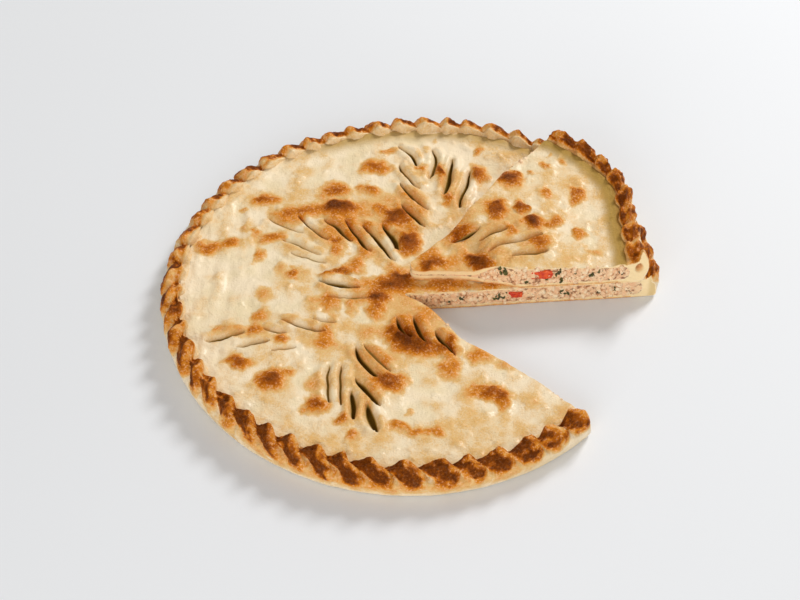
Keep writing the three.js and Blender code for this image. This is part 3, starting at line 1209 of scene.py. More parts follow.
    def _end(
        self,
        shell: Shell,
        section: Points,
        end: int,
        cut_rows: int,
        hollow: tuple[float, float] | None,
    ) -> None:
        """Adds one cut end of the rope.

        Args:
            shell: what it is added to.
            section: its outline as insets and heights.
            end: 0 for the first end, -1 for the last.
            cut_rows: rows of faces up the base's cut edge.
            hollow: inset and height of a curl's hole, or None.
        """
        down = np.linspace(self.TUCK[-1][1], 0, cut_rows + 1)[1:-1]
        ring = np.vstack([section, np.column_stack([np.full(len(down), BASE_INSET), down])])
        ring[:, 0] *= -1
        grid = honeycomb(self.END_GRID, self.END_REACH, self.seed) + self.END_MIDDLE
        grid = grid[inside(ring, grid)]
        rim = evenly(np.vstack([ring, ring[:1]]), 0.3)
        grid = grid[distance_to(rim, grid) > self.END_CLEAR]
        flat, faces = triangulated(ring if area(ring) > 0 else ring[::-1], grid)
        plan = self.plan.at(np.full(len(flat), float(end != 0)), -flat[:, 0])
        points = np.column_stack([plan, self.plan.place(plan, flat[:, 1])])
        out = right_of(self.plan.knife)[-1 if end == 0 else 0]
        free = ramp(0, 1.4, distance_to(ring, flat))
        push = 0.4 * Grain(self.seed + 9).layered(flat, 3.0, 3) * free
        bake = 0.05 + 0.1 * Grain(self.seed + 5).layered(flat, 4.0, 2)
        shade = np.zeros(len(flat))
        if hollow is not None:
            reach = np.hypot(*((flat * (1, -1) + hollow) / self.HOLE).T)
            push = push - self.HOLE_DEPTH * ramp(1.1, 0.5, reach) * free
            bake = bake + 0.7 * ramp(1.2, 0.6, reach)
        elif end:
            # Painted shade: the outer part of the last cut end is tinted tanner.
            bake = bake + 0.26 * ramp(-13.0, -4.0, flat[:, 0])
        else:
            # Painted shade on the outer part of a first cut end without a curl, carried in the slit
            # mark.
            shade = 0.26 * ramp(-9.0, -4.0, flat[:, 0])
        points[:, :2] += push[:, None] * out
        shell.add(points, faces, crumb=1.0, bake=np.clip(bake, 0, 1), slit=shade)


# ---- Small lumps: mince, herbs ----


class Nodes:
    """Adds nodes to a shader or geometry tree."""

    def __init__(self, tree: NodeTree) -> None:
        """Works on one tree."""
        self.tree = tree

    def node(
        self, kind: str, settings: dict | None = None, inputs: dict | None = None
    ) -> Node:
        """Adds a node.

        Args:
            kind: its type.
            settings: its properties, such as a Math node's operation; "stops" are a ramp's stops.
            inputs: a value, node output or Term for each socket, by name or number.

        Returns:
            The node.
        """
        made = self.tree.nodes.new(kind)
        for key, value in (settings or {}).items():
            if key == "stops":
                self._stops(made.color_ramp, value)
            else:
                setattr(made, key, value)
        for key, value in (inputs or {}).items():
            socket = self._socket(made, key)
            if isinstance(value, Term):
                value = value.socket
            if isinstance(value, NodeSocket):
                self.tree.links.new(value, socket)
            else:
                socket.default_value = value
        return made

    @staticmethod
    def _socket(made: Node, key: str | int) -> NodeSocket:
        """An input by number, identifier or name."""
        named = next((s for s in made.inputs if s.identifier == key), None)
        return named or made.inputs[key]

    @staticmethod
    def _stops(band: ColorRamp, stops: list[tuple[float, Colour]]) -> None:
        """Gives a colour ramp its stops.

        Args:
            band: the ramp.
            stops: a place and a colour for each.
        """
        while len(band.elements) < len(stops):
            band.elements.new(0.5)
        for element, (position, colour) in zip(band.elements, stops):
            element.position = position
            element.color = (*colour, 1)


class Term:
    """A number in a shader or geometry tree that Python's operators build on."""

    def __init__(self, nodes: Nodes, socket: NodeSocket) -> None:
        """Wraps an output socket."""
        self.nodes, self.socket = nodes, socket

    def _math(
        self, operation: str, first: "Term | float", second: "Term | float", clamp: bool = False
    ) -> "Term":
        """Adds a Math node.

        Args:
            operation: what it does.
            first: its first value.
            second: its second value.
            clamp: whether the result is held between 0 and 1.

        Returns:
            The result.
        """
        settings = {"operation": operation, "use_clamp": clamp}
        made = self.nodes.node("ShaderNodeMath", settings, {0: first, 1: second})
        return Term(self.nodes, made.outputs[0])

    def __add__(self, other: "Term | float") -> "Term":
        """Sum."""
        return self._math("ADD", self, other)

    def __sub__(self, other: "Term | float") -> "Term":
        """Difference."""
        return self._math("SUBTRACT", self, other)

    def __rsub__(self, other: "Term | float") -> "Term":
        """Difference from a number."""
        return self._math("SUBTRACT", other, self)

    def __mul__(self, other: "Term | float") -> "Term":
        """Product."""
        return self._math("MULTIPLY", self, other)

    def __rtruediv__(self, other: "Term | float") -> "Term":
        """Quotient of a number."""
        return self._math("DIVIDE", other, self)

    __radd__ = __add__
    __rmul__ = __mul__

    def held(self) -> "Term":
        """The value held between 0 and 1."""
        return self._math("ADD", self, 0.0, clamp=True)

    def step(self, low: float, high: float) -> "Term":
        """Adds a smooth step.

        Args:
            low: the value up to which it is 0.
            high: the value from which it is 1.

        Returns:
            The step.
        """
        made = self.nodes.node(
            "ShaderNodeMapRange",
            {"interpolation_type": "SMOOTHSTEP", "clamp": True},
            {"Value": self, "From Min": low, "From Max": high, "To Min": 0.0, "To Max": 1.0},
        )
        return Term(self.nodes, made.outputs[0])


@dataclass(frozen=True)
class Lumps:
    """Small uneven lumps set on points, made by Geometry Nodes.

    Attributes:
        size: mean radius of a lump.
        flat: its thickness against its width.
        crumple: how uneven its surface is, against its size.
        rings: rows of faces of the ball that it starts from.
        seed: for the turns and the unevenness.
    """

    size: float
    flat: float
    crumple: float
    rings: int
    seed: int

    FINENESS = 0.9  # lumps of unevenness over a lump's radius

    def _tree(self, material: Material) -> NodeTree:
        """The tree that sets a ball on each point, turns it, joins all and crumples them.

        Args:
            material: their finish.

        Returns:
            The tree.
        """
        tree = bpy.data.node_groups.new("lumps_on_points", "GeometryNodeTree")
        face = tree.interface
        face.new_socket("Geometry", in_out="OUTPUT", socket_type="NodeSocketGeometry")
        face.new_socket("Geometry", in_out="INPUT", socket_type="NodeSocketGeometry")
        for name in ("Size", "Flatness", "Crumple"):
            face.new_socket(name, in_out="INPUT", socket_type="NodeSocketFloat")
        face.new_socket("Seed", in_out="INPUT", socket_type="NodeSocketInt")
        nodes = Nodes(tree)
        add = nodes.node
        source, sink = add("NodeGroupInput").outputs, add("NodeGroupOutput")
        size, flat, crumple = (Term(nodes, source[n]) for n in ("Size", "Flatness", "Crumple"))
        shape = {"Radius": 1.0, "Segments": 8, "Rings": self.rings}
        ball = add("GeometryNodeMeshUVSphere", None, shape)
        each = add("GeometryNodeInputNamedAttribute", {"data_type": "FLOAT"}, {"Name": "size"})
        width = size * Term(nodes, each.outputs[0])
        scale = add("ShaderNodeCombineXYZ", None, {"X": width, "Y": width, "Z": width * flat})
        turn = add(
            "FunctionNodeRandomValue",
            {"data_type": "FLOAT_VECTOR"},
            {"Max": (2 * math.pi,) * 3, "Seed": source["Seed"]},
        )
        placed = add(
            "GeometryNodeInstanceOnPoints",
            None,
            {
                "Points": source["Geometry"],
                "Instance": ball.outputs["Mesh"],
                "Rotation": turn.outputs[0],
                "Scale": scale.outputs[0],
            },
        )
        joined = add("GeometryNodeRealizeInstances", None, {"Geometry": placed.outputs[0]})
        spot = add("GeometryNodeInputPosition").outputs[0]
        noise = add(
            "ShaderNodeTexNoise",
            {"noise_dimensions": "3D"},
            {"Vector": spot, "Scale": self.FINENESS / size},
        )
        centred = add(
            "ShaderNodeVectorMath",
            {"operation": "SUBTRACT"},
            {0: noise.outputs["Color"], 1: (0.5, 0.5, 0.5)},
        )
        push = add(
            "ShaderNodeVectorMath",
            {"operation": "SCALE"},
            {0: centred.outputs[0], "Scale": size * crumple},
        )
        shifts = {"Geometry": joined.outputs[0], "Offset": push.outputs[0]}
        moved = add("GeometryNodeSetPosition", None, shifts)
        soft = add("GeometryNodeSetShadeSmooth", None, {"Geometry": moved.outputs[0]})
        finish = {"Geometry": soft.outputs[0], "Material": material}
        dressed = add("GeometryNodeSetMaterial", None, finish)
        tree.links.new(dressed.outputs[0], sink.inputs[0])
        return tree

    def build(
        self, name: str, places: Points, sizes: Points, material: Material
    ) -> Object:
        """Makes the lumps one plain mesh.

        Args:
            name: the object's name.
            places: where the lumps are, in millimetres.
            sizes: each one's size against the mean.
            material: their finish.

        Returns:
            The object.
        """
        mesh = bpy.data.meshes.new(name)
        mesh.from_pydata(((places + PIE_MIDDLE) * MM).tolist(), [], [])
        mark = mesh.attributes.new("size", "FLOAT", "POINT")
        mark.data.foreach_set("value", sizes.astype(np.float32))
        made = stood(mesh)
        tree = self._tree(material)
        modifier = made.modifiers.new("lumps", "NODES")
        modifier.node_group = tree
        values = {
            "Size": self.size * MM,
            "Flatness": self.flat,
            "Crumple": self.crumple,
            "Seed": self.seed,
        }
        for item in tree.interface.items_tree:
            if item.in_out == "INPUT" and item.name in values:
                modifier[item.identifier] = values[item.name]
        made.data.update()
        seen = made.evaluated_get(bpy.context.evaluated_depsgraph_get())
        plain = bpy.data.meshes.new_from_object(seen)
        made.modifiers.remove(modifier)
        made.data = plain
        plain.name = name
        for spare in [a.name for a in plain.attributes if a.name == "size"]:
            plain.attributes.remove(plain.attributes[spare])
        log.info("%s: %d lumps, %d triangles", name, len(places), triangle_count(plain))
        return made


# ---- Finishes ----


def srgb(red: int, green: int, blue: int) -> Colour:
    """A colour given as 0 to 255, as the shader wants it."""
    parts = (v / 255 for v in (red, green, blue))
    return tuple(v / 12.92 if v <= 0.04045 else ((v + 0.055) / 1.055) ** 2.4 for v in parts)


class Shade:
    """A material under construction."""

    def __init__(self, name: str) -> None:
        """Starts with a plain shader.

        Args:
            name: the material's name.
        """
        self.material = bpy.data.materials.new(name)
        self.material.use_nodes = True
        tree = self.material.node_tree
        self.nodes = Nodes(tree)
        self.shader = tree.nodes["Principled BSDF"]
        self.coords = self.nodes.node("ShaderNodeTexCoord").outputs["Object"]

    def mark(self, name: str) -> Term:
        """One of the mesh's marks."""
        made = self.nodes.node("ShaderNodeAttribute", {"attribute_name": name})
        return Term(self.nodes, made.outputs["Fac"])

    def noise(self, lump: float, detail: float = 3.0, rough: float = 0.55) -> Term:
        """Noise from 0 to 1.

        Args:
            lump: width of its lumps, in millimetres.
            detail: how many finer layers it has.
            rough: how strong each finer layer is.

        Returns:
            The noise.
        """
        size = {"Scale": 1 / (lump * MM), "Detail": detail, "Roughness": rough}
        made = self.nodes.node("ShaderNodeTexNoise", None, {"Vector": self.coords, **size})
        return Term(self.nodes, made.outputs[0])

    def cells(self, width: float) -> Term:
        """Cells like grains pressed together.

        Args:
            width: their width in millimetres.

        Returns:
            The distance from the middle of a cell.
        """
        size = {"Vector": self.coords, "Scale": 1 / (width * MM)}
        made = self.nodes.node("ShaderNodeTexVoronoi", None, size)
        return Term(self.nodes, made.outputs["Distance"])

    def blend(
        self, share: Term, low: Colour | NodeSocket, high: Colour | NodeSocket
    ) -> NodeSocket:
        """A colour between two.

        Args:
            share: 0 for the first colour, 1 for the second.
            low: the first colour, or a socket.
            high: the second.

        Returns:
            The colour's socket.
        """
        low, high = ((*c, 1) if isinstance(c, tuple) else c for c in (low, high))
        inputs = {"Factor_Float": share, "A_Color": low, "B_Color": high}
        made = self.nodes.node("ShaderNodeMix", {"data_type": "RGBA"}, inputs)
        return next(s for s in made.outputs if s.identifier == "Result_Color")

    def band(self, share: Term, stops: list[tuple[float, Colour]]) -> NodeSocket:
        """A colour ramp."""
        return self.nodes.node("ShaderNodeValToRGB", {"stops": stops}, {0: share}).outputs[0]

    def finish(
        self,
        colour: NodeSocket,
        roughness: Term,
        relief: Term,
        depth: float,
        gloss: Term | None = None,
        **fixed: float,
    ) -> Material:
        """Connects the shader.

        Args:
            colour: its base colour.
            roughness: its roughness.
            relief: fine height for the bump.
            depth: that height in millimetres.
            gloss: weight of a thin coat, if it has one.
            **fixed: values of the shader's other sockets.

        Returns:
            The material.
        """
        height = {"Height": relief, "Distance": depth * MM, "Strength": 1.0}
        bump = self.nodes.node("ShaderNodeBump", None, height)
        sockets = self.shader.inputs
        links = self.nodes.tree.links
        links.new(colour, sockets["Base Color"])
        links.new(roughness.socket, sockets["Roughness"])
        if gloss is not None:
            links.new(gloss.socket, sockets["Coat Weight"])
        links.new(bump.outputs[0], sockets["Normal"])
        for name, value in fixed.items():
            sockets[name.replace("_", " ").title().replace("Ior", "IOR")].default_value = value
        return self.material


@dataclass(frozen=True)
class DoughFinish:
    """Baked dough, from raw cream through gold to scorched brown.

    Attributes:
        name: the material's name.
        raw: least baked.
        pale: its other tint, in soft clouds.
        warm: lightly baked.
        golden: baked.
        brown: well baked.
        dark: darkest.
        inside: freshly cut dough.
        shaded: at the edge of a slit and in the crease along the rope.
        slit: inside a slit: the filling seen through it, darkened with painted shade.
        pink: colour of painted highlight specks on the browned dough.
        glint: how strongly these painted highlights show.
        rough: roughness of plain dough.
        grit: depth of the fine relief.
        gloss: how shiny pale dough is.
    """

    name: str
    raw: Colour = srgb(252, 234, 203)
    pale: Colour = srgb(242, 223, 184)
    warm: Colour = srgb(232, 190, 124)
    golden: Colour = srgb(220, 138, 40)
    brown: Colour = srgb(170, 88, 6)
    dark: Colour = srgb(98, 44, 1)
    inside: Colour = srgb(252, 226, 176)
    shaded: Colour = srgb(186, 150, 78)
    slit: Colour = srgb(104, 76, 18)
    pink: Colour = srgb(255, 206, 160)
    glint: float = 0.5
    rough: float = 0.4
    grit: float = 0.8
    gloss: float = 0.27

    # Widths of the noises' lumps, and where each colour stands between raw and dark.
    CLOUD, PATCH, GRAIN, SPECKLE, FLECK = 22.0, 4.5, 0.9, 1.35, 1.5
    STOPS = (0.0, 0.24, 0.5, 0.74, 1.0)

    def material(self) -> Material:
        """Builds the material.

        Returns:
            The material.
        """
        s = Shade(self.name)
        bake, crumb, slit = s.mark("bake"), s.mark("crumb"), s.mark("slit")
        broad, mid, fine = s.noise(self.CLOUD, 2.0), s.noise(self.PATCH, 4.0), s.noise(self.GRAIN)
        live = (bake * (1.32 - bake) + 0.05).held()
        speckle = s.noise(self.SPECKLE, 2.0)
        heat = bake + (mid + fine + speckle - 1.5) * 0.6 * live + (broad - 0.5) * 0.08
        cloud = s.blend(broad.step(0.4, 0.65), self.raw, self.pale)
        colours = (self.raw, self.warm, self.golden, self.brown, self.dark)
        baked = s.band(heat.held(), list(zip(self.STOPS, colours)))
        colour = s.blend(heat.step(0.0, 0.22), cloud, baked)
        # Painted highlights: pale pink specks on the browned dough stand in for spots of reflected
        # light.
        glints = s.noise(self.FLECK, 2.0).step(0.52, 0.66) * heat.step(0.08, 0.4)
        glints = glints * (1 - heat.step(0.5, 0.9) * 0.9) * self.glint
        colour = s.blend(glints, colour, self.pink)
        colour = s.blend((crumb * (1 - bake)).held(), colour, self.inside)
        # Painted shade: the slit mark paints olive shade on slit walls and along the rope, and dark
        # shade in the slits' openings.
        colour = s.blend(slit.step(0.05, 0.5), colour, self.shaded)
        colour = s.blend(slit.step(0.4, 0.9), colour, self.slit)
        rough = self.rough + (fine - 0.5) * 0.2 + crumb * 0.2 + bake * 0.06
        relief = fine * 0.8 + speckle * 0.5 + mid * 0.6
        gloss = (1 - heat.step(0.1, 0.6)) * (1 - crumb) * (1 - slit.step(0.0, 0.3)) * self.gloss
        return s.finish(
            colour, rough, relief, self.grit, gloss, specular_ior_level=0.06, coat_roughness=0.25
        )


@dataclass(frozen=True)
class MinceFinish:
    """Minced meat and cheese: pale pink lumps with hollows darkened partly by painted shade.

    Attributes:
        name: the material's name.
        pale: the cheese.
        pink: the meat.
        brown: the hollows, partly their own darker colour and partly painted shade, and the darker
            patches.
    """

    name: str
    pale: Colour
    pink: Colour
    brown: Colour

    # Widths of the noises' lumps and of the cells.
    LUMP, GRAIN, PATCH, CELL = 3.2, 0.7, 5.5, 2.1

    def material(self) -> Material:
        """Builds the material.

        Returns:
            The material.
        """
        s = Shade(self.name)
        mid, fine, cell = s.noise(self.LUMP), s.noise(self.GRAIN, 2.0), s.cells(self.CELL)
        tint = s.blend(mid.step(0.38, 0.64), self.pink, self.pale)
        tint = s.blend(s.noise(self.PATCH, 2.0).step(0.6, 0.7) * 0.8, tint, self.brown)
        # Painted shade: the hollows between the cells are darkened, partly as the meat's own darker
        # colour.
        hollows = (cell.step(0.55, 0.88) * 0.85 + (fine - 0.5) * 0.3).held()
        colour = s.blend(hollows, tint, self.brown)
        rough = 0.5 + (fine - 0.5) * 0.3
        return s.finish(colour, rough, fine - cell * 1.2, 0.35, specular_ior_level=0.5)


@dataclass(frozen=True)
class WetFinish:
    """Something soft and moist of one hue, such as tomato or herb.

    Attributes:
        name: the material's name.
        deep: its darker tint.
        light: its lighter tint.
        lump: width of its patches.
        rough: its roughness.
    """

    name: str
    deep: Colour
    light: Colour
    lump: float
    rough: float

    def material(self) -> Material:
        """Builds the material.

        Returns:
            The material.
        """
        s = Shade(self.name)
        patch, fine = s.noise(self.lump), s.noise(self.lump / 5, 2.0)
        colour = s.blend(patch.step(0.36, 0.66), self.deep, self.light)
        rough = self.rough + (fine - 0.5) * 0.2
        return s.finish(colour, rough, fine, 0.1, specular_ior_level=0.55)


# ---- Pies: crust, lid and filling together ----


class Slot(Enum):
    """Material slots of the pieces."""

    CRUST = "crust"
    LID = "lid"
    FILLING = "filling"
    TOMATO = "tomato"


# The pie's node in each slot; the slice's nodes have a prefix.
NODES = {
    Slot.CRUST: "bottom_crust",
    Slot.LID: "top_crust",
    Slot.FILLING: "filling",
    Slot.TOMATO: "tomato_piece",
}


@dataclass(frozen=True)
class Kitchen:
    """The finishes that the pieces share."""

    crust: Material
    lid: Material
    filling: Material
    mince: Material
    tomato: Material
    herb: Material


def serve(piece: Object, slot: Slot, *nodes: str) -> None:
    """Fixes a finished piece to the body and hides the nodes that it stands for.

    Args:
        piece: the piece.
        slot: its slot; not used.
        *nodes: the nodes, if it stands for any.
    """
    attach(piece, BODY)
    if nodes:
        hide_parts(*nodes)


@dataclass
class Portion:
    """A piece of pie: crust with its rope, filling and lid.

    Attributes:
        name: starts the names of its pieces.
        plan: outline and cuts.
        rope: the twisted edge.
        skin: the lid's top.
        lid_step: distance between points of the lid's top.
        hidden: outline of what lies under another piece, where the lid needs no detail.
        solid_point: reach from the middle up to which the sheets of dough meet, and the next
            from which there is filling.
        hollow: inset and height of the curl's hole in the rope's first end.
        droop: how far the lid sinks, crumpled, at the point.
        corner: how strongly the rope's shadow is painted onto the lid along it.
        fillet: how far the lid curves up to the rope.
        tomato: middle and size of the tomato piece.
        herbs: herbs on the first cut: distance east, share of the way up and size.
        seed: for its noise.
    """

    name: str
    plan: Plan
    rope: Rope
    skin: LidSkin
    lid_step: float
    hidden: Points | None
    solid_point: tuple[float, float]
    hollow: tuple[float, float] | None
    droop: float
    corner: float
    fillet: float
    tomato: tuple[tuple[float, float, float], tuple[float, float, float]]
    herbs: list[tuple[float, float, float]]
    seed: int

    BASE = 2.6  # thickness of the bottom sheet
    BASE_RISE = 3.6  # how much thicker it is at the point
    LID_TOP, LID_LOW = 14.7, 9.2
    LID_EDGE = 1.2  # thickness of the lid where it is cut
    MEETING = 7.6  # height at which the sheets meet at the point
    SEAM = 0.08  # overlap of a lid or base with the filling
    LID_INSET, FILLING_INSET, ROPE_INSET = 10.9, 9.4, 15.0  # where each ends inside the side
    CREASE = (13.5, 15.5, 2.0)  # insets between which the lid dips along the rope, and the fade
    CURVED, SHADED = (25, 14.5), (28, 13.5)  # insets over which it curves up, and over which the rope's painted shadow fades in
    TIP = (48, 6)  # reach from the point over which it droops
    ROUNDED = 5.4  # width over which the filling's edge is rounded
    COARSE, SPARSE, UNDER = 4.0, 6.0, 5.0  # spacing of points that nobody sees
    SHADOW_HEADINGS = (-10, 110, 25)  # headings between which the rope's shadow is painted on the lid, and the fade
    FINE = 0.1  # spacing of the points from which lumps are drawn
    CROWD = 3.4  # lumps of mince for each millimetre of a cut
    CUBE, SUNK = 0.62, 0.75  # how square the tomato is, and how far it stands out of the cut

    def _meeting(self, plan: Points) -> Points:
        """1 at the point, where the sheets of dough meet, and 0 where there is filling."""
        reach = np.hypot(*(plan - self.plan.middle).T)
        return ramp(self.solid_point[1], self.solid_point[0], reach)

    def _base_top(self, plan: Points) -> Points:
        """Height of the bottom sheet's top within the piece."""
        return self.BASE + self.BASE_RISE * self._meeting(plan)

    def _lid_low(self, plan: Points) -> Points:
        """Works out the height of the lid's underside within the piece.

        Args:
            plan: plan points.

        Returns:
            A height for each point.
        """
        edge = ramp(9, 3, distance_to(self.plan.knife, plan))
        low = mix(self.LID_LOW, self.LID_TOP - self.LID_EDGE, edge)
        return mix(low, self.MEETING, self._meeting(plan) * edge)

    def _at(self, heights: Heights) -> Heights:
        """Heights within the piece as heights above the ground."""
        return lambda plan: self.plan.place(plan, heights(plan))

    def _scattered(self, spacing: float, inset: float) -> Points:
        """Points all over the plan."""
        grid = honeycomb(spacing, REACH, self.seed)
        return grid[self.plan.keep(grid, inset, 0.55 * spacing)]

    def crust(self) -> Object:
        """Builds the bottom sheet with the rope edge.

        Returns:
            The piece.
        """

        def baked(points: Points, up: Points) -> Points:
            """How baked the cut edge is: most of all at the bottom."""
            patchy = 0.12 * Grain(self.seed).layered(points, 9.0, 2)
            return 0.16 + patchy + 0.55 * ramp(0.75, 0.05, up)

        shell = Shell()
        base = Layer(
            self.plan,
            BASE_INSET,
            low=self._at(lambda plan: np.zeros(len(plan))),
            high=self._at(self._base_top),
            columns=self.rope.columns,
            rows=4,
            bite=0.6,
            lump=3.4,
            seed=self.seed,
        )
        sparse = self._scattered(self.SPARSE, base.inset)
        base.face(shell, sparse, base.low, bake=0.42)
        base.face(shell, sparse, base.high, crumb=1.0)
        base.cut_face(shell, crumb=lambda points, up: np.ones(len(points)), bake=baked)
        self.rope.add_to(shell, base.rows, self.hollow)
        return shell.build(f"{self.name}_crust")

    def _lid_top(self, plan: Points) -> Points:
        """Works out the height of the lid's top above the ground.

        Args:
            plan: plan points.

        Returns:
            A height for each point.
        """
        plain = self.plan.place(plan, np.full(len(plan), self.LID_TOP))
        edge = ramp(2.2, 0.0, distance_to(self.plan.knife, plan))
        inset = self.plan.inset_of(plan)
        crease = 0.5 * within(inset, *self.CREASE)
        fillet = self.fillet * ramp(*self.CURVED, inset) ** 1.5
        fillet = fillet * ramp(self.LID_INSET, 14.0, inset)
        tip = self.droop * ramp(*self.TIP, np.hypot(*(plan - self.plan.middle).T))
        crumple = 1 - np.abs(Grain(self.seed + 6).layered(plan, 12.0, 2)) * 2
        plain = plain - tip * (0.75 - 0.5 * crumple)
        rise = self.skin.read(plan)["rise"] * (1 - 0.4 * edge)
        return plain + fillet + rise - 0.25 * edge - crease

    def _lid_points(self) -> Points:
        """Places points all over the lid, on the slits too, and few where a piece hides it.

        Returns:
            The plan points.
        """
        grid = honeycomb(self.lid_step, REACH, self.seed + 2)
        coarse = honeycomb(self.COARSE, REACH, self.seed + 3)
        if self.hidden is None:
            coarse = coarse[:0]
        else:
            grid = grid[~inside(self.hidden, grid)]
            coarse = coarse[inside(self.hidden, coarse)]
        scored = self.skin.scored(self.lid_step)
        grid = grid[distance_to(scored, grid) > 0.6 * self.lid_step]
        inner = np.vstack([grid, coarse, scored])
        return inner[self.plan.keep(inner, self.LID_INSET, 0.5 * self.lid_step)]

    def lid(self) -> Object:
        """Builds the lid with its slits, blisters and browning.

        Returns:
            The piece.
        """
        shell = Shell()
        layer = Layer(
            self.plan,
            self.LID_INSET,
            low=self._at(self._lid_low),
            high=self._lid_top,
            columns=900,
            rows=3,
            bite=0.5,
            lump=3.0,
            seed=self.seed + 1,
        )
        outline = self.plan.outline(layer.inset, layer.columns)
        plan, faces = triangulated(outline, self._lid_points())
        marks = self.skin.read(plan)
        east, north = (plan - self.plan.middle).T
        # Painted shadow: the lid along the rope is darkened olive through the slit mark.
        along = within(heading_of(np.arctan2(north, east)), *self.SHADOW_HEADINGS)
        shaded = self.corner * ramp(*self.SHADED, self.plan.inset_of(plan)) * along
        shell.add(
            np.column_stack([plan, self._lid_top(plan)]),
            faces,
            bake=marks["bake"],
            slit=np.maximum(marks["slit"], shaded),
        )
        layer.face(shell, self._scattered(self.UNDER, layer.inset), layer.low, crumb=1.0)
        layer.cut_face(
            shell,
            crumb=lambda points, up: ramp(1.0, 0.8, up),
            bake=lambda points, up: 0.5 * ramp(0.4, 1.0, up),
        )
        layer.rim_face(shell)
        return shell.build(f"{self.name}_lid", sharp=62.0)

    def _filling_edge(self, plan: Points, side: float) -> Points:
        """Works out a height of the filling, whose top and underside meet in a round edge.

        Args:
            plan: plan points.
            side: 1 for the top, -1 for the underside.

        Returns:
            The height of each point within the piece.
        """
        high, low = self._lid_low(plan) + self.SEAM, self._base_top(plan) - self.SEAM
        bent = np.clip((self.ROPE_INSET - self.plan.inset_of(plan)) / self.ROUNDED, 0, 0.98)
        return (high + low) / 2 + side * (high - low) / 2 * np.sqrt(1 - bent**2)

    def filling(self) -> Object:
        """Builds the filling, which shows in the cuts.

        Returns:
            The piece.
        """
        shell = Shell()
        layer = Layer(
            self.plan,
            self.FILLING_INSET,
            low=self._at(lambda plan: self._filling_edge(plan, -1.0)),
            high=self._at(lambda plan: self._filling_edge(plan, 1.0)),
            columns=120,
            rows=14,
            bite=1.5,
            lump=3.4,
            seed=self.seed + 4,
        )
        sparse = self._scattered(self.SPARSE, layer.inset)
        layer.face(shell, sparse, layer.low)
        layer.face(shell, sparse, layer.high)
        layer.cut_face(shell)
        layer.rim_face(shell)
        return shell.build(f"{self.name}_meat", sharp=80.0)

    def _on_cut(self, path: Points, up: Points, out: float) -> Points:
        """Places points on a cut.

        Args:
            path: plan points of the knife's path.
            up: share of the way up the filling.
            out: how far they stand out of it.

        Returns:
            The points.
        """
        rows = self.plan.cut(12.0)
        near, _ = nearest(rows, path)
        low = self.plan.place(path, self._base_top(path))
        high = self.plan.place(path, self._lid_low(path))
        plan = path + right_of(rows)[near] * out
        return np.column_stack([plan, mix(low, high, up)])

    def mince(self, material: Material) -> Object:
        """Sets lumps of mince on the cuts.

        Args:
            material: their finish.

        Returns:
            The lumps as one object.
        """
        draw = np.random.default_rng(self.seed + 11)
        rows = evenly(self.plan.cut(self.ROPE_INSET), self.FINE)
        rows = rows[self._meeting(rows) < 0.3]
        count = round(len(rows) * self.FINE * self.CROWD)
        path = rows[draw.integers(0, len(rows), count)]
        places = self._on_cut(path, draw.uniform(-0.02, 1.02, count), -0.6)
        sizes = 0.5 + 1.4 * draw.uniform(0, 1, count) ** 2.2
        centre, size = (np.array(v) for v in self.tomato)
        clear = (np.abs(places - centre) > size / 2 + 0.6).any(axis=1)
        lumps = Lumps(size=1.3, flat=0.75, crumple=1.2, rings=5, seed=self.seed)
        return lumps.build(f"{self.name}_mince", places[clear], sizes[clear], material)

    def herb_bits(self, material: Material) -> Object:
        """Sets chopped herbs on the cuts: the larger ones placed, small ones strewn.

        Args:
            material: their finish.

        Returns:
            The herbs as one object.
        """
        draw = np.random.default_rng(self.seed + 17)
        rows = evenly(self.plan.cut(self.ROPE_INSET), self.FINE)
        front = rows[len(rows) // 2 :]
        path, up, size = [], [], []
        for east, share, width in self.herbs:
            bits = max(2, round(width * 1.4))
            near = np.abs(front[:, 0][:, None] - draw.normal(east, width * 0.22, bits)).argmin(0)
            path.append(front[near])
            up.append(np.clip(draw.normal(share, 0.1, bits), 0.04, 0.96))
            size.append(draw.uniform(0.7, 1.2, bits) * (0.6 + width * 0.09))
        strewn = rows[self._meeting(rows) < 0.3]
        count = len(strewn) // 95
        path.append(strewn[draw.integers(0, len(strewn), count)])
        up.append(draw.uniform(0.05, 0.95, count))
        size.append(draw.uniform(0.25, 0.5, count))
        places = self._on_cut(np.vstack(path), np.concatenate(up), 0.1)
        lumps = Lumps(size=1.25, flat=0.42, crumple=1.6, rings=6, seed=self.seed + 5)
        return lumps.build(f"{self.name}_herbs", places, np.concatenate(size), material)

    def tomato_piece(self) -> Object:
        """Builds the blunt cube of tomato, flush with the cut.

        Returns:
            The piece.
        """
        centre, size = (np.array(v) for v in self.tomato)
        ball = bmesh.new()
        bmesh.ops.create_icosphere(ball, subdivisions=5, radius=1.0)
        points = np.array([v.co[:] for v in ball.verts])
        longest = np.abs(points).max(axis=1, keepdims=True)
        points = points * mix(1, 1 / longest, self.CUBE) * size / 2
        points *= 1 + 0.09 * Grain(self.seed + 23).layered(points + 50, 5.0, 3)[:, None]
        points += centre
        front = self.plan.cut(self.ROPE_INSET)
        front = front[len(front) // 2 :]
        knife = np.interp(points[:, 0], front[:, 0], front[:, 1]) - self.SUNK
        skew = 0.25 * Grain(self.seed + 29).layered(points, 2.6, 3)
        points[:, 1] = np.maximum(points[:, 1], knife + skew)
        for vertex, point in zip(ball.verts, (points + PIE_MIDDLE) * MM):
            vertex.co = point
        mesh = bpy.data.meshes.new(f"{self.name}_tomato")
        ball.to_mesh(mesh)
        ball.free()
        mesh.shade_smooth()
        log.info("%s: %d triangles", mesh.name, triangle_count(mesh))
        return stood(mesh)

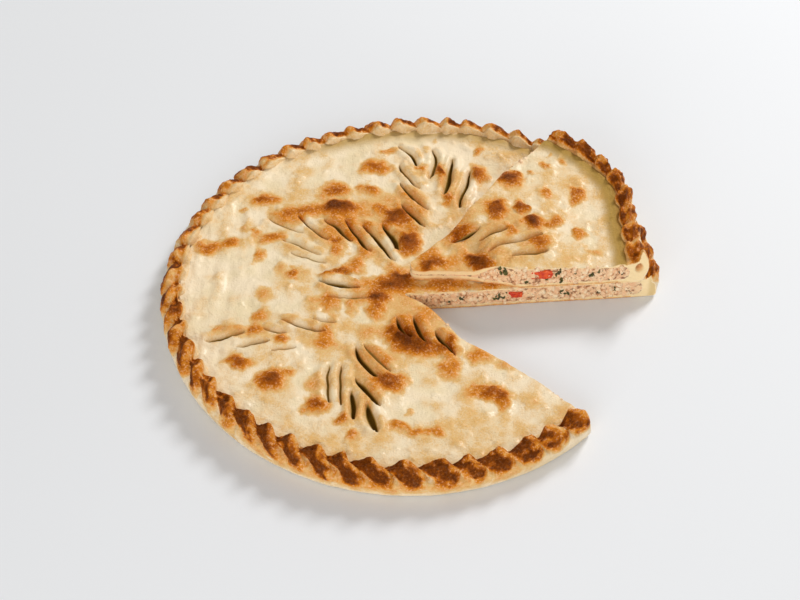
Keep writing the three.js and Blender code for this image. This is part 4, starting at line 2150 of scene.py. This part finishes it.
    def make(self, kitchen: Kitchen, prefix: str = "") -> None:
        """Builds, dresses and serves every piece.

        Args:
            kitchen: the finishes.
            prefix: what the names of this piece's nodes start with.
        """
        for made, material, slot in (
            (self.crust(), kitchen.crust, Slot.CRUST),
            (self.lid(), kitchen.lid, Slot.LID),
            (self.filling(), kitchen.filling, Slot.FILLING),
            (self.tomato_piece(), kitchen.tomato, Slot.TOMATO),
        ):
            made.data.materials.append(material)
            serve(made, slot, prefix + NODES[slot])
        serve(self.mince(kitchen.mince), Slot.FILLING)
        serve(self.herb_bits(kitchen.herb), Slot.FILLING)


def slits(rows: list[tuple]) -> list[Slit]:
    """Slits from rows of two ends, bow, width, how far open they are and any lift."""
    return [Slit((a, b), (c, d), *rest) for a, b, c, d, *rest in rows]


PIE_SLITS = slits([
    (-9, 133, 3, 113, 2, 2.6, 0.9), (-9, 114, 4, 91, -1, 2.2, 0.8), (-9, 94, 8, 70, -1, 2.6, 0.9),
    (-8, 74, 6, 53, 0, 2.8, 1.0), (13, 129, 11, 100, 2, 2.2, 0.8), (27, 120, 20, 83, 0.6, 3.2, 1.0),
    (38, 107, 29, 70, 0, 2.0, 1.0), (-76, 62, -56, 40, 0, 2.0, 0.7),
    (-58, 60, -41, 39, 0, 2.4, 0.8), (-46, 57, -29, 30, 0, 2.8, 0.9),
    (-34, 55, -13, 21, 0, 2.8, 1.0), (-21, 54, -9, 32, 0, 3.8, 1.0),
    (-60, 2, -36, -4, 0, 3.0, 1.0, 1.6), (-82, -32, -57, -42, -1.4, 2.2, 0.9),
    (-129, -49, -106, -42, 0, 2.8, 0.9), (-110, -55, -90, -49, 0, 2.6, 0.9),
    (-52, -70, -53, -100, -1.5, 1.8, 0.7), (-45, -70, -46, -102, -1, 1.8, 0.7),
    (-36, -55, -20, -82, -3, 3.4, 1.0), (-31, -54, -16, -74, -1.4, 2.4, 0.5),
    (-37, -80, -22, -103, 0.9, 4.0, 1.0), (-39.5, -90, -36, -114, 0, 3.8, 1.0),
    (-29, -102, -24, -123, -0.5, 4.4, 1.0), (-11, -32, -3, -48, -1.4, 3.0, 1.0),
    (-1, -30, 9, -53, -1.5, 3.2, 1.0), (13, -42, 24, -61, -0.6, 3.2, 1.0, 0.8),
    (-95, 60, -74, 46, 0, 1.2, 0.3), (-85, 41, -62, 27, 0, 1.5, 0.4),
    (-80, 28, -57, 19, 0, 1.2, 0.3), (-55, -11, -31, -13.5, 0, 1.5, 0.4),
    (-63, -32, -51, -35, 0, 1.5, 0.4), (-93, -39, -80, -43, 0, 1.5, 0.5),
    (-88, -58, -74, -55, 0, 1.2, 0.4),
])
SLICE_SLITS = slits([
    (23, 27, 41, 34, 0, 3.0, 1.0), (42, 25, 60, 32.5, 0, 2.8, 1.0), (48, 14, 82, 25, 0.5, 2.3, 1.0),
    (62, 7, 84, 11.5, -0.5, 2.8, 1.0),
])

PIE_SCORCHES = [Scorch(*row) for row in (
    (-27, 110, 11, 8, 0, 0.6), (-16, 126, 5, 4, 0, 0.4), (-52, 90, 9, 7, 0, 0.55),
    (-30, 90, 7, 6, 0, 0.6), (-96, 78, 8, 5, 20, 0.5), (-85, 63, 10, 8, 0, 0.5),
    (-70, 68, 8, 6, 0, 0.5), (-50, 70, 13, 8, 0, 0.7), (-63, 80, 4, 4, 0, 0.25),
    (-133, 33, 9, 7, 20, 0.55), (-118, 37, 6, 4, 0, 0.4), (-99, 25, 4, 7, 0, 0.5),
    (-92, 42, 10, 5, 20, 0.5), (-103, 46, 4, 4, 0, 0.35), (-112, 50, 4, 4, 0, 0.25),
    (-113, 68, 3, 3, 0, 0.3), (-78, 10, 4, 6, 0, 0.5), (-88, 14, 6, 5, 0, 0.25),
    (-95, -12, 6, 8, 0, 0.25), (-97, -27, 6, 6, 0, 0.45), (-99, -40, 6, 6, 0, 0.45),
    (-124, -38, 4, 4, 0, 0.3), (-107, -67, 8, 5, 0, 0.65), (-88, -82, 10, 9, 0, 0.78),
    (-77, -74, 5, 4, 0, 0.5), (-60, -102, 8, 8, 0, 0.72), (-44, -113, 5, 6, 0, 0.55),
    (-37, -127, 4, 4, 0, 0.45), (-61, -85, 6, 8, 0, 0.25), (-82, -47, 5, 4, 0, 0.45),
    (-15, 2, 16, 8, 0, 0.6), (-50, 9, 13, 4, 10, 0.62), (-38, 17, 7, 8, 0, 0.5),
    (-48, 33, 6, 6, 0, 0.45), (-12, 60, 10, 10, 0, 0.66), (-3, 38, 9, 13, 0, 0.86),
    (-23, 71, 5, 5, 0, 0.3), (-52, -20, 6, 9, 0, 0.45), (-40, -20, 4, 7, 0, 0.45),
    (-25, -18, 7, 12, 0, 0.66), (-55, -48, 7, 9, 0, 0.4), (-12, -44, 10, 8, 0, 0.66),
    (0, -55, 13, 8, -20, 0.75), (20, -58, 8, 8, 0, 0.5), (22, -72, 7, 10, 0, 0.5),
    (22, -47, 4, 6, 30, 0.36), (-15, -85, 10, 8, 0, 0.68), (-10, -118, 6, 4, 0, 0.5),
    (0, -122, 8, 4, 0, 0.4), (12, -122, 5, 4, 0, 0.4), (-5, -106, 3, 3, 0, 0.4),
    (40, -62, 8, 8, 0, 0.4), (55, -70, 8, 5, 0, 0.3), (45, -93, 13, 6, -10, 0.68),
    (53, -100, 4, 8, 0, 0.55), (5, 111, 4, 4, 0, 0.4), (17, 106, 4, 9, 0, 0.68),
    (23, 80, 4, 6, 0, 0.5), (44, 127, 4, 4, 0, 0.5), (45, 105, 6, 11, 25, 0.6),
    (14, 140, 3, 3, 0, 0.25), (20, -2, 17, 5, 4, 0.5), (45, -3, 14, 4, 4, 0.4),
    (-28, 30, 9, 14, 45, 0.3), (-20, -8, 26, 16, 0, 0.16), (-30, 62, 26, 26, 0, 0.12),
    (-30, -70, 22, 30, 0, 0.12), (5, -35, 22, 16, 0, 0.16),
)]
SLICE_SCORCHES = [Scorch(*row) for row in (
    (62, 78, 9, 9, 0, 0.82), (53, 47, 8, 9, 0, 0.66), (69, 50, 4, 5, 0, 0.75),
    (77, 37, 6, 8, 0, 0.78), (90, 39, 7, 6, 0, 0.6), (63, 29, 5, 4, 0, 0.5), (85, 63, 5, 5, 0, 0.5),
    (108, 65, 5, 7, 0, 0.55), (104, 58, 4, 4, 0, 0.35), (87, 89, 3, 3, 0, 0.4),
    (76, 84, 3, 3, 0, 0.4), (98, 94, 3, 3, 0, 0.35), (106, 28, 5, 5, 0, 0.5),
    (114, 12, 6, 4, 0, 0.25), (78, 18, 12, 4, 10, 0.3), (41, 6, 13, 4.5, -45, 0.64),
    (8, 5, 6, 5, 0, 0.4), (17, 8, 6, 5, -30, 0.4), (28, 36, 6, 5, 0, 0.45), (91, 101, 2, 2, 0, 0.3),
    (20, 22, 22, 16, 40, 0.2), (30, 12, 22, 8, 0, 0.22),
)]

PIE_CRESTS = [
    -1.5, 5, 11.5, 18, 24.5, 31, 37.5, 44, 50.5, 57, 63, 70, 76, 81.5, 88, 93.5, 100, 106.5, 112.5,
    118, 124, 131, 137.5, 144, 151, 157.5, 165, 171.5, 179, 185, 191.5, 197, 205, 211.5, 217.5,
    223.5, 230.5, 236.5, 243, 249.5, 255, 262, 269, 276.5, 282.5, 290, 296.5, 303, 310, 317,
]
SLICE_CRESTS = [-8, -2, 4.5, 10.5, 16.8, 23, 29, 35.2, 41.5, 47.5, 53.5, 60, 66]


def profile(base: float, *bands: tuple[float, float, float, float]) -> Heights:
    """A value that changes along the rope.

    Args:
        base: the value in general.
        *bands: what is added to it, the headings between which it is, and the fade.

    Returns:
        The value as a function of the heading.
    """

    def value(heading: Points) -> Points:
        """Adds the bands up.

        Args:
            heading: headings in degrees.

        Returns:
            The value at each.
        """
        total = np.full(np.shape(heading), base)
        for more, *band in bands:
            total = total + more * within(heading, *band)
        return total

    return value


def pie() -> Portion:
    """Describes the pie that the slice was cut from.

    Returns:
        The pie.
    """
    (east, north), far, heading = (-6, -9.5), 190, math.radians(4.8)
    upper_end = (east + far * math.cos(heading), north + far * math.sin(heading))
    plan = PiePlan(
        np.array([0.0, 0.0]),
        [
            (165, -172), (130, -138), (92, -101), (76, -85), (60, -71), (42, -57), (29, -48),
            (21, -36), (7, -19), (east, north), (8, -8.3), (50, -4.8), (100, -0.6), upper_end,
        ],
        seed=3,
    )
    rope = Rope(
        plan,
        PIE_CRESTS,
        columns=960,
        seed=5,
        width=profile(14.5, (-2.6, -8, 14, 10), (1.0, 100, 160, 20)),
        crest=profile(22.8, (-2.6, 20, 44, 10), (-1.6, 105, 155, 20)),
        scorched=profile(0.36, (0.62, 232, 285, 28), (0.2, 175, 320, 25), (0.12, 40, 110, 30)),
        browned=profile(0.9, (-0.16, 20, 165, 25), (-0.06, 200, 325, 25)),
        lean=profile(0.3, (0.7, 192, 258, 30)),
    )
    return Portion(
        name="pie",
        plan=plan,
        rope=rope,
        skin=LidSkin(PIE_SLITS, PIE_SCORCHES, seed=31),
        lid_step=0.95,
        hidden=np.array(
            [(12, 10), (62, 5), (138, 10), (139, 50), (116, 96), (94, 108), (66, 80), (34, 38)]
        ),
        solid_point=(-2.0, -1.0),
        hollow=None,
        droop=0.0,
        corner=0.38,
        fillet=1.0,
        tomato=((64, 0.5, 8.6), (10.5, 11, 5.4)),
        herbs=[
            (31, 0.55, 3.4), (22, 0.35, 2.2), (53, 0.55, 6.5), (95, 0.5, 6.5), (118, 0.4, 2.2),
            (128, 0.6, 1.8),
        ],
        seed=41,
    )


def cut_slice() -> Portion:
    """Describes the slice that lies on the pie.

    Returns:
        The slice.
    """
    plan = SlicePlan(
        np.array([0.0, 6.0]),
        [
            (165, 200), (130, 158), (92, 118), (64, 88), (48, 66), (30, 42), (14, 27), (0, 13),
            (-2, 8), (2, 3.4), (30, 2.8), (50, -0.5), (68, -3.6), (95, -1.8), (125, 0.4),
            (170, 4),
        ],
        seed=8,
    )
    rope = Rope(
        plan,
        SLICE_CRESTS,
        columns=170,
        seed=15,
        width=profile(14.0),
        crest=profile(22.8),
        scorched=profile(0.3),
        browned=profile(0.88),
        lean=profile(0.6),
        waist=1.7,
        wall=0.3,
        outer_lean=0.7,
        curl=1.0,
    )
    return Portion(
        name="slice",
        plan=plan,
        rope=rope,
        skin=LidSkin(SLICE_SLITS, SLICE_SCORCHES, seed=71, tan=0.075),
        lid_step=0.75,
        hidden=None,
        solid_point=(34.0, 50.0),
        hollow=(4.0, 11.6),
        droop=2.6,
        corner=0.54,
        fillet=2.4,
        tomato=((80.3, 2.0, 25.9), (16.0, 12, 7.4)),
        herbs=[
            (56, 0.8, 7.5), (91, 0.78, 6.0), (101, 0.8, 2.4), (112, 0.55, 4.0), (117, 0.75, 2.4),
            (131, 0.6, 2.8), (70.5, 0.12, 3.0), (93, 0.1, 3.0), (84, 0.3, 1.8),
        ],
        seed=83,
    )


# ---- Studio ----


@dataclass(frozen=True)
class Lamp:
    """A square soft light that faces the pie.

    Attributes:
        name: its name.
        place: where it hangs, in metres.
        size: its side.
        power: its power in watts.
        tint: its colour.
    """

    name: str
    place: tuple[float, float, float]
    size: float
    power: float
    tint: Colour = (1.0, 0.985, 0.96)

    def hang(self) -> None:
        """Adds it to the scene."""
        lamp = bpy.data.lights.new(self.name, "AREA")
        lamp.size, lamp.energy, lamp.color = self.size, self.power, self.tint
        made = bpy.data.objects.new(self.name, lamp)
        made.location = self.place
        made.rotation_euler = Vector(self.place).to_track_quat("Z", "Y").to_euler()
        bpy.context.collection.objects.link(made)


@dataclass(frozen=True)
class Studio:
    """Pale floor, soft light and the camera.

    Attributes:
        elevation: the camera's height above the horizon, in degrees.
        distance: from the camera to its aim, in metres.
        lens: focal length on a 36 mm sensor.
        aim: what the camera looks at.
        lamps: the lights.
        sky: colour of the light from all sides.
        glow: its strength.
        reach: half the floor's side.
        gap: how far the floor lies below the pie.
    """

    elevation: float = 45.8
    distance: float = 1.2
    lens: float = 84.0
    aim: tuple[float, float, float] = (-0.00717, 0.00075, 0.0)
    lamps: tuple[Lamp, ...] = (
        Lamp("key", (1.2, 1.52, 1.52), 0.64, 40.4),
        Lamp("fill", (-0.3, -1.6, 0.6), 1.2, 15.2),
    )
    sky: Colour = (1.0, 0.955, 0.875)
    glow: float = 0.44
    reach: float = 3.0
    gap: float = 0.0002

    def floor(self) -> None:
        """Lays the floor."""
        mesh = bpy.data.meshes.new("floor")
        signs = ((-1, -1), (1, -1), (1, 1), (-1, 1))
        corners = [(x * self.reach, y * self.reach, -self.gap) for x, y in signs]
        mesh.from_pydata(corners, [], [(0, 1, 2, 3)])
        shade = Shade("floor")
        tint = shade.noise(400.0, 1.0)
        colour = shade.blend(tint, srgb(229, 233, 240), srgb(233, 237, 244))
        mesh.materials.append(shade.finish(colour, tint * 0.1 + 0.6, tint, 0.01))
        floor = stood(mesh)

    def camera(self) -> None:
        """Sets up the camera."""
        made = bpy.data.objects.new("camera", bpy.data.cameras.new("camera"))
        made.data.lens = self.lens
        tilt = math.radians(self.elevation)
        back = Vector((0, -math.cos(tilt), math.sin(tilt)))
        made.location = Vector(self.aim) + back * self.distance
        made.rotation_euler = back.to_track_quat("Z", "Y").to_euler()
        bpy.context.collection.objects.link(made)
        bpy.context.scene.camera = made

    def set_up(self) -> None:
        """Builds the studio."""
        self.floor()
        self.camera()
        for lamp in self.lamps:
            lamp.hang()
        world = bpy.data.worlds.new("studio")
        bpy.context.scene.world = world
        world.use_nodes = True
        sky = world.node_tree.nodes["Background"].inputs
        sky["Color"].default_value = (*self.sky, 1)
        sky["Strength"].default_value = self.glow
        bpy.context.scene.view_settings.view_transform = "Standard"


def main() -> None:
    """Makes the studio, the finishes, the pie and the slice."""
    logging.basicConfig(level=logging.INFO, format="%(message)s")
    Studio().set_up()
    dressings = {
        "crust": DoughFinish("crust"),
        "lid": DoughFinish("lid", rough=0.36),
        "filling": MinceFinish(
            "filling", pale=srgb(246, 212, 168), pink=srgb(238, 188, 144), brown=srgb(132, 74, 34)
        ),
        "mince": MinceFinish(
            "mince", pale=srgb(252, 230, 194), pink=srgb(248, 206, 164), brown=srgb(196, 132, 80)
        ),
        "tomato": WetFinish(
            "tomato", deep=srgb(196, 36, 2), light=srgb(232, 88, 22), lump=3.0, rough=0.25
        ),
        "herb": WetFinish(
            "herbs", deep=srgb(52, 50, 10), light=srgb(98, 98, 30), lump=1.5, rough=0.5
        ),
    }
    kitchen = Kitchen(**{use: finish.material() for use, finish in dressings.items()})
    pie().make(kitchen)
    cut_slice().make(kitchen, "slice_")


if __name__ == "__main__":
    main()
